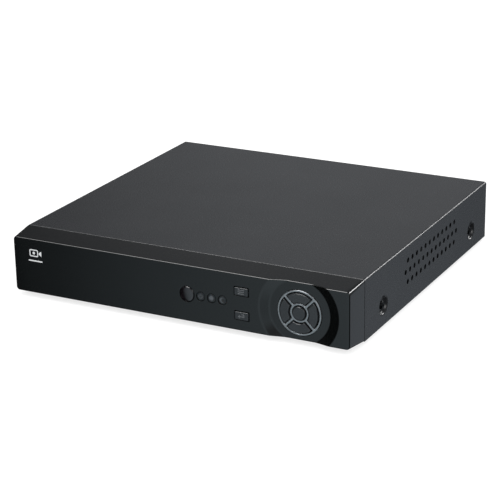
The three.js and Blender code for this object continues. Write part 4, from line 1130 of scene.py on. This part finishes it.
def moulded_abs(name, dark, light, gloss_range, tooth_mm, depth_mm):
    # ABS from a steel mould: even black with a slight cloud in it, and the fine tooth of a
    # spark-eroded or polished mould, drawn coarser than life so that it shows.
    made, tree = blank(name)
    place = add(tree, "ShaderNodeTexCoord").outputs["Object"]
    cloud = add(tree, "ShaderNodeTexNoise", {"Scale": per(30), "Detail": 2}, {"Vector": place})
    tooth = add(tree, "ShaderNodeTexNoise", {"Scale": per(tooth_mm), "Detail": 3}, {"Vector": place})
    colour = add(tree, "ShaderNodeValToRGB", {"stops": ((0.3, linear(dark)), (0.7, linear(light)))},
                 {"Fac": cloud})
    gloss = add(tree, "ShaderNodeMapRange", {**NOISE, "To Min": gloss_range[0], "To Max": gloss_range[1]},
                {"Value": tooth})
    relief = add(tree, "ShaderNodeBump", {"Strength": 1, "Distance": depth_mm * MM}, {"Height": tooth})
    finish = add(tree, "ShaderNodeBsdfPrincipled", {"IOR": 1.54},
                 {"Base Color": colour, "Roughness": gloss, "Normal": relief})
    add(tree, "ShaderNodeOutputMaterial", links={"Surface": finish})
    return made


gloss_abs = moulded_abs("semi_gloss_black_abs", "#050606", "#070808", (0.12, 0.17), 0.7, 0.001)
piece("bezel_moulding", bezel_moulding(), gloss_abs, "case", ["front_bezel"],
      math.radians(20))


# Pad ring: an ABS trim lacquered in dark chrome, with four diagonal webs round the middle key.
# Every top edge is rounded, and its flange is trapped behind the floor of the dish.

RING = {"outer": 15.5, "inner": 14.15, "hub": 6.6, "bore": 5.2, "web": 1.6}
ring_front = in_case("pad_ring")[0].y


def arc_panel(inner, outer, web, corner, turn):
    """The outline of a quarter of a ring, between two diagonal webs, with round corners."""
    steps = 18

    def rim(radius, share):
        return (radius * math.cos(share), radius * math.sin(share))

    def meet(radius):
        return math.pi / 4 - math.asin(web / 2 / radius)

    def bend(before, at, after):
        points = []
        for i in range(5):
            t = i / 4
            points.append(tuple((1 - t) ** 2 * b + 2 * t * (1 - t) * m + t * t * a
                                for b, m, a in zip(before, at, after)))
        return points

    far, near = meet(outer), meet(inner)
    out_corner, in_corner = rim(outer, far), rim(inner, near)
    length = math.dist(out_corner, in_corner)
    toward = [(i - o) / length for i, o in zip(in_corner, out_corner)]
    down = (out_corner[0] + toward[0] * corner, out_corner[1] + toward[1] * corner)
    up = (in_corner[0] - toward[0] * corner, in_corner[1] - toward[1] * corner)
    upper = bend(rim(outer, far - corner / outer), out_corner, down)
    upper += bend(up, in_corner, rim(inner, near - corner / inner))
    outer_arc = [rim(outer, (far - corner / outer) * (2 * i / steps - 1)) for i in range(1, steps)]
    inner_arc = [rim(inner, (near - corner / inner) * (1 - 2 * i / steps)) for i in range(1, steps)]
    mirrored = [(u, -v) for u, v in reversed(upper)]
    outline = outer_arc + upper + inner_arc + mirrored
    c, s = math.cos(turn), math.sin(turn)
    return [(PAD_CENTRE[0] + u * c - v * s, PAD_CENTRE[1] + u * s + v * c) for u, v in outline]


def pad_ring():
    top = ring_front
    outer = RING["outer"]
    disc = turned("y", PAD_CENTRE, [
        (outer - 0.45, top), (outer - 0.2, top + 0.06), (outer - 0.05, top + 0.2), (outer, top + 0.45),
        (outer, 5.1), (outer + 1.2, 5.12), (outer + 1.2, 6.1), (outer - 1.34, 6.1), (outer - 1.34, 4.4),
        (3, 4.4)], 96)
    tools = []
    for quarter in range(4):
        def panel(d):
            return arc_panel(RING["hub"] - d, RING["inner"] + d, RING["web"] - 2 * d, 0.8,
                             quarter * math.pi / 2)
        tools.append(stack("y", [(panel(0.4), top - 1), (panel(0.4), top - 0.001),
                                 (panel(0.16), top + 0.08), (panel(0.04), top + 0.22),
                                 (panel(0), top + 0.45), (panel(0), 7)]))
    bore = RING["bore"]
    tools.append(turned("y", PAD_CENTRE, [(bore + 0.4, top - 1), (bore + 0.4, top - 0.001),
                                          (bore + 0.16, top + 0.08), (bore, top + 0.4), (bore, 7)], 64))
    return cut(disc, *tools)


def chrome_lacquer():
    # ABS sprayed with dark chrome lacquer: metallic flake in a smooth coat, so the webs shine and
    # the rounded flanks fall away dark.
    made, tree = blank("dark_chrome_lacquer_on_abs")
    place = add(tree, "ShaderNodeTexCoord").outputs["Object"]
    flake = add(tree, "ShaderNodeTexNoise", {"Scale": per(0.5), "Detail": 4}, {"Vector": place})
    colour = add(tree, "ShaderNodeValToRGB",
                 {"stops": ((0.3, linear("#7c8083")), (0.7, linear("#94989b")))}, {"Fac": flake})
    gloss = add(tree, "ShaderNodeMapRange", {**NOISE, "To Min": 0.22, "To Max": 0.32}, {"Value": flake})
    relief = add(tree, "ShaderNodeBump", {"Strength": 1, "Distance": 0.004 * MM}, {"Height": flake})
    finish = add(tree, "ShaderNodeBsdfPrincipled",
                 {"Metallic": 0.75, "Coat Weight": 0.5, "Coat Roughness": 0.08},
                 {"Base Color": colour, "Roughness": gloss, "Normal": relief})
    add(tree, "ShaderNodeOutputMaterial", links={"Surface": finish})
    return made


piece("pad_ring_trim", pad_ring(), chrome_lacquer(), "case", ["pad_ring"])


# Keys: ABS with a fine spark texture on their faces, each on its own spring. A flange behind the
# bezel keeps each one in, and a stem reaches back to its switch.

PAD_GAP = 0.6
HEAD_BACK = 5
FLANGE = (4.7, 5.9)
STEM_REACH = 10.3
STEM_END = 7.9
key_abs = moulded_abs("spark_textured_abs", "#1b1d20", "#242729", (0.2, 0.28), 0.45, 0.012)


def key_levels(outline, front, back, crown=0.55):
    """A key's head, from its rounded face back."""
    return [(outline(-crown * 1.3), front), (outline(-crown * 0.62), front + crown * 0.09),
            (outline(-crown * 0.25), front + crown * 0.33), (outline(-crown * 0.06), front + crown * 0.66),
            (outline(0), front + crown), (outline(0), back)]


def key_stem(centre):
    return turned("y", centre, [(1.5, HEAD_BACK), (1.5, STEM_END - 0.2), (1.3, STEM_END)], 20)


PAD_KEYS = {"right": 0, "up": 1, "left": 2, "down": 3}
for way, quarter in PAD_KEYS.items():
    front = in_case(f"key_{way}")[0].y
    turn = quarter * math.pi / 2

    def arc_key(d):
        return arc_panel(RING["hub"] + PAD_GAP - d, RING["inner"] - PAD_GAP + d,
                         RING["web"] + 2 * PAD_GAP - 2 * d, 0.9, turn)

    flange = arc_panel(RING["hub"] - 0.4, RING["inner"] - 0.5, RING["web"] - 0.6, 0.9, turn)
    stem_centre = (PAD_CENTRE[0] + STEM_REACH * math.cos(turn), PAD_CENTRE[1] + STEM_REACH * math.sin(turn))
    key = join(stack("y", key_levels(arc_key, front, HEAD_BACK)),
               stack("y", [(flange, along) for along in FLANGE]), key_stem(stem_centre))
    piece(f"arc_key_{way}", key, key_abs, f"body_key_{way}", [f"key_{way}"])

ok_front = in_case("key_ok")[0].y
ok_key = join(
    stack("y", key_levels(round_hole(PAD_CENTRE, RING["bore"] - PAD_GAP), ok_front, HEAD_BACK)),
    turned("y", PAD_CENTRE, [(5.7, along) for along in FLANGE], 48), key_stem(PAD_CENTRE))
piece("round_key", ok_key, key_abs, "body_key_ok", ["key_ok"])


# Oblong keys: the same plastic, proud of the front. Plain symbols stand on them in low relief:
# three bars for the menu, and an arrow that turns back for the exit.

def bar(u0, u1, v0, v1, y0, y1):
    return stack("y", [(rounded(u0 + 0.05, u1 - 0.05, v0 + 0.05, v1 - 0.05, 0.1, 2), y0),
                       (rounded(u0, u1, v0, v1, 0.12, 2), y0 + 0.06),
                       (rounded(u0, u1, v0, v1, 0.12, 2), y1)])


def menu_bars(centre, face):
    u, v = centre
    return [bar(u - 2.3, u + 2.3, v + rise - 0.27, v + rise + 0.27, face - 0.12, face + 0.3)
            for rise in (-1.25, 0, 1.25)]


def return_arrow(centre, face):
    u, v = centre
    corners = [(-2.6, -0.35), (-1.1, -1.55), (-1.1, -0.65), (2.2, -0.65), (2.2, 1.5), (0.2, 1.5),
               (0.2, 0.9), (1.6, 0.9), (1.6, -0.05), (-1.1, -0.05), (-1.1, 0.85)]
    outline = [(u + p, v + q) for p, q in corners]
    return [stack("y", [(outline, face - 0.12), (outline, face + 0.3)])]


OBLONG_HALF = (5, 2.75)
COLLAR = 1.1
RELIEF = {"key_menu": menu_bars, "key_exit": return_arrow}
printed_grey = moulded_abs("printed_grey_lacquer", "#4a4d50", "#55585b", (0.4, 0.55), 0.6, 0.006)

for node, symbol in RELIEF.items():
    low, high = in_case(node)
    centre = flat_centre(node)
    collar = rounded(centre[0] - OBLONG_HALF[0] - COLLAR, centre[0] + OBLONG_HALF[0] + COLLAR,
                     centre[1] - OBLONG_HALF[1] - COLLAR, centre[1] + OBLONG_HALF[1] + COLLAR, 0.4)
    key = join(stack("y", key_levels(oblong(centre, *OBLONG_HALF, 0.7), low.y, 3, 0.45)),
               stack("y", [(collar, 2.5), (collar, 3.7)]), key_stem(centre))
    body = f"body_{node}"
    piece(f"oblong_{node}", key, key_abs, body, [node])
    piece(f"symbol_on_{node}", together(symbol(centre, low.y)), printed_grey, body)


# Remote-control window: a lens of smoked acrylic that lets infra-red through, slightly domed and
# polished. Its flange sits behind the front.

def smoked_acrylic():
    # Dyed acrylic: black to the eye with a trace of red in it, and a wet polish.
    made, tree = blank("smoked_acrylic")
    place = add(tree, "ShaderNodeTexCoord").outputs["Object"]
    haze = add(tree, "ShaderNodeTexNoise", {"Scale": per(4), "Detail": 2}, {"Vector": place})
    colour = add(tree, "ShaderNodeValToRGB",
                 {"stops": ((0.3, linear("#0b090b")), (0.7, linear("#141014")))}, {"Fac": haze})
    gloss = add(tree, "ShaderNodeMapRange", {**NOISE, "To Min": 0.08, "To Max": 0.14}, {"Value": haze})
    finish = add(tree, "ShaderNodeBsdfPrincipled", {"IOR": 1.49, "Coat Weight": 0.6, "Coat Roughness": 0.03},
                 {"Base Color": colour, "Roughness": gloss})
    add(tree, "ShaderNodeOutputMaterial", links={"Surface": finish})
    return made


window_centre = flat_centre("ir_window")
window_front = in_case("ir_window")[0].y
dome = [(0.3, 0), (1.4, 0.02), (2.6, 0.07), (3.7, 0.14), (4.4, 0.22), (4.85, 0.34), (5.1, 0.52),
        (5.2, 0.8)]
piece("window_lens", turned("y", window_centre,
      [(r, window_front + t) for r, t in dome] + [(5.2, 2.5), (6.3, 2.52), (6.3, 3.8)], 64),
      smoked_acrylic(), "case", ["ir_window"])


# Status lenses: frosted polycarbonate light pipes, each with a plain printed shape: a ring with a
# stroke, a disc and a crescent. They are unlit.

def frosted_polycarbonate():
    # Smoke-tinted polycarbonate with a frosted face: a soft grey depth under a dull gloss.
    made, tree = blank("frosted_polycarbonate")
    place = add(tree, "ShaderNodeTexCoord").outputs["Object"]
    frost = add(tree, "ShaderNodeTexNoise", {"Scale": per(0.5), "Detail": 4}, {"Vector": place})
    colour = add(tree, "ShaderNodeValToRGB",
                 {"stops": ((0.3, linear("#0d0f11")), (0.7, linear("#15181a")))}, {"Fac": frost})
    gloss = add(tree, "ShaderNodeMapRange", {**NOISE, "To Min": 0.3, "To Max": 0.42}, {"Value": frost})
    relief = add(tree, "ShaderNodeBump", {"Strength": 1, "Distance": 0.01 * MM}, {"Height": frost})
    finish = add(tree, "ShaderNodeBsdfPrincipled",
                 {"IOR": 1.58, "Subsurface Weight": 0.15, "Subsurface Scale": MM},
                 {"Base Color": colour, "Roughness": gloss, "Normal": relief})
    add(tree, "ShaderNodeOutputMaterial", links={"Surface": finish})
    return made


def ring_stroke(centre, y):
    u, v = centre
    outer, inner = 1.5, 1.05
    opening = math.radians(38)
    turns = [math.pi / 2 + opening + (2 * math.pi - 2 * opening) * i / 28 for i in range(29)]
    outline = [(u + outer * math.cos(a), v + outer * math.sin(a)) for a in turns]
    outline += [(u + inner * math.cos(a), v + inner * math.sin(a)) for a in reversed(turns)]
    stroke = rounded(u - 0.2, u + 0.2, v + 0.2, v + 1.75, 0.15, 3)
    return [stack("y", [(shape, y - 0.05), (shape, y + 0.2)]) for shape in (outline, stroke)]


def disc_mark(centre, y):
    return [turned("y", centre, [(1.55, y - 0.05), (1.6, y), (1.6, y + 0.2)], 40)]


def crescent(centre, y):
    u, v = centre
    outer, tip = 1.75, math.radians(48)
    edge, rise = outer * math.cos(tip), outer * math.sin(tip)
    middle = edge - 0.45
    inner, turn = math.hypot(0.45, rise), math.atan2(rise, 0.45)
    outline = [(u + outer * math.cos(a), v + outer * math.sin(a))
               for a in [tip + (2 * math.pi - 2 * tip) * i / 24 for i in range(25)]]
    outline += [(u + middle + inner * math.cos(a), v + inner * math.sin(a))
                for a in [-turn - (2 * math.pi - 2 * turn) * i / 20 for i in range(1, 20)]]
    return [stack("y", [(outline, y - 0.05), (outline, y + 0.2)])]


frosted = frosted_polycarbonate()
pale_print = moulded_abs("pale_printed_ink", "#3b4044", "#464b50", (0.45, 0.6), 0.5, 0.004)
SHAPES = {"lens_power": ring_stroke, "lens_record": disc_mark, "lens_alarm": crescent}
for node, shape in SHAPES.items():
    centre = flat_centre(node)
    front = in_case(node)[0].y
    back = in_case(node)[1].y
    profile = [(2.55, front), (2.8, front + 0.08), (2.9, front + 0.3), (2.9, 2.5), (3.8, 2.52), (3.8, 3.6),
               (1.6, 3.62), (1.6, back)]
    piece(f"{node}_pipe", turned("y", centre, profile, 48), frosted, "case", [node])
    piece(f"{node}_mark", together(shape(centre, front)), pale_print, "case")


# Printed mark: a plain outline of a video camera over a short bar, screen printed in white at the
# left of the front.

def frame_of(u0, u1, v0, v1, thick, radius, y):
    outer = rounded(u0, u1, v0, v1, radius)
    inner = rounded(u0 + thick, u1 - thick, v0 + thick, v1 - thick, max(radius - thick, 0.1))
    return stack("y", [(outer, y - 0.02), (inner, y - 0.02), (inner, y + 0.1), (outer, y + 0.1)], True)


def camera_mark(u, v, y):
    horn = [(u + 2.9, v + 0.5), (u + 5.0, v + 1.9), (u + 5.0, v - 1.9), (u + 2.9, v - 0.5)]
    return [frame_of(u - 4.6, u + 2.4, v - 2.6, v + 2.6, 0.75, 1.1, y),
            stack("y", [(horn, y - 0.02), (horn, y + 0.1)]),
            turned("y", (u - 1.1, v), [(1.0, y - 0.02), (1.0, y + 0.1)], 32),
            bar(u - 5.6, u + 5.6, v - 6.1, v - 5.1, y - 0.02, y + 0.1)]


MARK_PLACE = (-108.8, 30.6)
white_ink = screen_ink("white_screen_ink", "#b4b6b8", "#d2d4d5")
piece("printed_mark", together(camera_mark(*MARK_PLACE, 0)), white_ink, "case")


# Top cover: one sheet of steel bent down at both sides, charcoal powder coat. The vents are
# punched, and two dimples pressed into each side sink the screws that hold it.

SHEET = 1
BEND = 1.5


def powder_coat(name, dark, light, gloss_range):
    # Baked polyester powder: a fine orange peel, drawn at 0.9 mm where the real one is about
    # 0.4 mm, with a faint fleck. It gives a soft, slightly grainy sheen.
    made, tree = blank(name)
    place = add(tree, "ShaderNodeTexCoord").outputs["Object"]
    cloud = add(tree, "ShaderNodeTexNoise", {"Scale": per(45), "Detail": 2}, {"Vector": place})
    peel = add(tree, "ShaderNodeTexNoise", {"Scale": per(0.9), "Detail": 2}, {"Vector": place})
    fleck = add(tree, "ShaderNodeTexNoise", {"Scale": per(0.5), "Detail": 4}, {"Vector": place})
    mixed = add(tree, "ShaderNodeMath", {"operation": "MULTIPLY_ADD", 1: 0.45}, {0: fleck, 2: cloud})
    colour = add(tree, "ShaderNodeValToRGB", {"stops": ((0.5, linear(dark)), (0.95, linear(light)))},
                 {"Fac": mixed})
    gloss = add(tree, "ShaderNodeMapRange", {**NOISE, "To Min": gloss_range[0], "To Max": gloss_range[1]},
                {"Value": peel})
    relief = add(tree, "ShaderNodeBump", {"Strength": 1, "Distance": 0.005 * MM}, {"Height": peel})
    finish = add(tree, "ShaderNodeBsdfPrincipled", {"IOR": 1.5},
                 {"Base Color": colour, "Roughness": gloss, "Normal": relief})
    add(tree, "ShaderNodeOutputMaterial", links={"Surface": finish})
    return made


def bent_sheet(inset):
    """The cover's section: a U upside down, with round bends."""
    low, high = in_case("top_cover")
    half = high.x - inset
    top = high.z - inset
    thick = SHEET - 2 * inset
    radius = BEND - inset
    arc = [radius * math.cos(i * math.pi / 16) for i in range(9)]
    ratio = (radius - thick) / radius
    outer = [(half - radius + c, top - radius + s) for c, s in zip(arc, reversed(arc))]
    inner = [(half - radius + c * ratio, top - radius + s * ratio) for c, s in zip(arc, reversed(arc))]
    right_out = [(half, low.z + inset), *outer]
    right_in = [(half - thick, low.z + inset), *inner]
    left_out = [(-u, v) for u, v in reversed(right_out)]
    left_in = [(-u, v) for u, v in right_in]
    return right_out + left_out + left_in + list(reversed(right_in))


VENT_ROWS = (12, 13, 12)
VENT_PITCH = 7.75
VENT_RISE = 7.65
VENT_RADIUS = 1.75
VENT_MIDDLE = (134.5, 24)


def vent_punch(side, half, y, z):
    """A punch that breaks out wider inside, as the sheet tears, and leaves a small lip outside."""
    lip = 0.14
    radius = VENT_RADIUS + 0.05
    profile = [(radius + 1, half - 2), (radius + 0.7, half - SHEET * 0.8), (radius, half - SHEET * 0.4),
               (radius, half - lip), (radius + 0.3 * lip, half - 0.3 * lip),
               (radius + lip, half + 0.001), (radius + lip, half + 1)]
    return turned("x", (y, z), [(r, side * along) for r, along in profile], 24)


def pressed_dimple(side, half, y, z):
    """The cup pressed into the side, and what is scooped out of it."""
    cup = [(5.4, half - 3.2), (7.3, half - 1.2), (7.9, half - 0.4)]
    scoop = [(4.6, half - 2.2), (5.1, half - 2.12), (5.45, half - 1.85), (6.0, half - 0.85),
             (6.4, half - 0.32), (6.95, half - 0.06), (7.6, half + 0.002), (7.6, half + 1)]
    hole = [(1.8, half - 5), (1.8, half - 1)]
    return [turned("x", (y, z), [(r, side * along) for r, along in profile], 48)
            for profile in (cup, scoop, hole)]


def cover_sheet():
    low, high = in_case("top_cover")
    half = high.x
    edge = 0.2
    sheet = stack("y", [(bent_sheet(edge), low.y), (bent_sheet(0), low.y + edge),
                        (bent_sheet(0), high.y - edge), (bent_sheet(edge), high.y)])
    punches = []
    cups = []
    scoops = []
    for side in (1, -1):
        for row, count in enumerate(VENT_ROWS):
            for i in range(count):
                y = VENT_MIDDLE[0] + (i - (count - 1) / 2) * VENT_PITCH
                z = VENT_MIDDLE[1] + (1 - row) * VENT_RISE
                punches.append(vent_punch(side, half, y, z))
    for number in (1, 2, 3, 4):
        head = centre_of(f"cover_screw_{number}")
        cup, scoop, hole = pressed_dimple(math.copysign(1, head.x), half, head.y, head.z)
        cups.append(cup)
        scoops += [scoop, hole]
    return cut(cut(join(sheet, *cups), *scoops), *punches)


charcoal_coat = powder_coat("charcoal_powder_coated_steel", "#17181a", "#1d1e20", (0.24, 0.32))
piece("cover_sheet", cover_sheet(), charcoal_coat, "case", ["top_cover"])


# Cover screws: black cross-head screws like those under the disk, but smaller. They sink in the
# dimples and hold the cover to the tray.

for number in (1, 2, 3, 4):
    low, high = in_case(f"cover_screw_{number}")
    out = math.copysign(1, low.x)
    seat = (high.x if out > 0 else low.x) - out * 1.8
    middle = centre_of(f"cover_screw_{number}")
    piece(f"cover_screw_{number}_head", screw("x", (middle.y, middle.z), seat, out, 2.9, 1.8, 1.3, 5),
          black_zinc, "case", [f"cover_screw_{number}"])
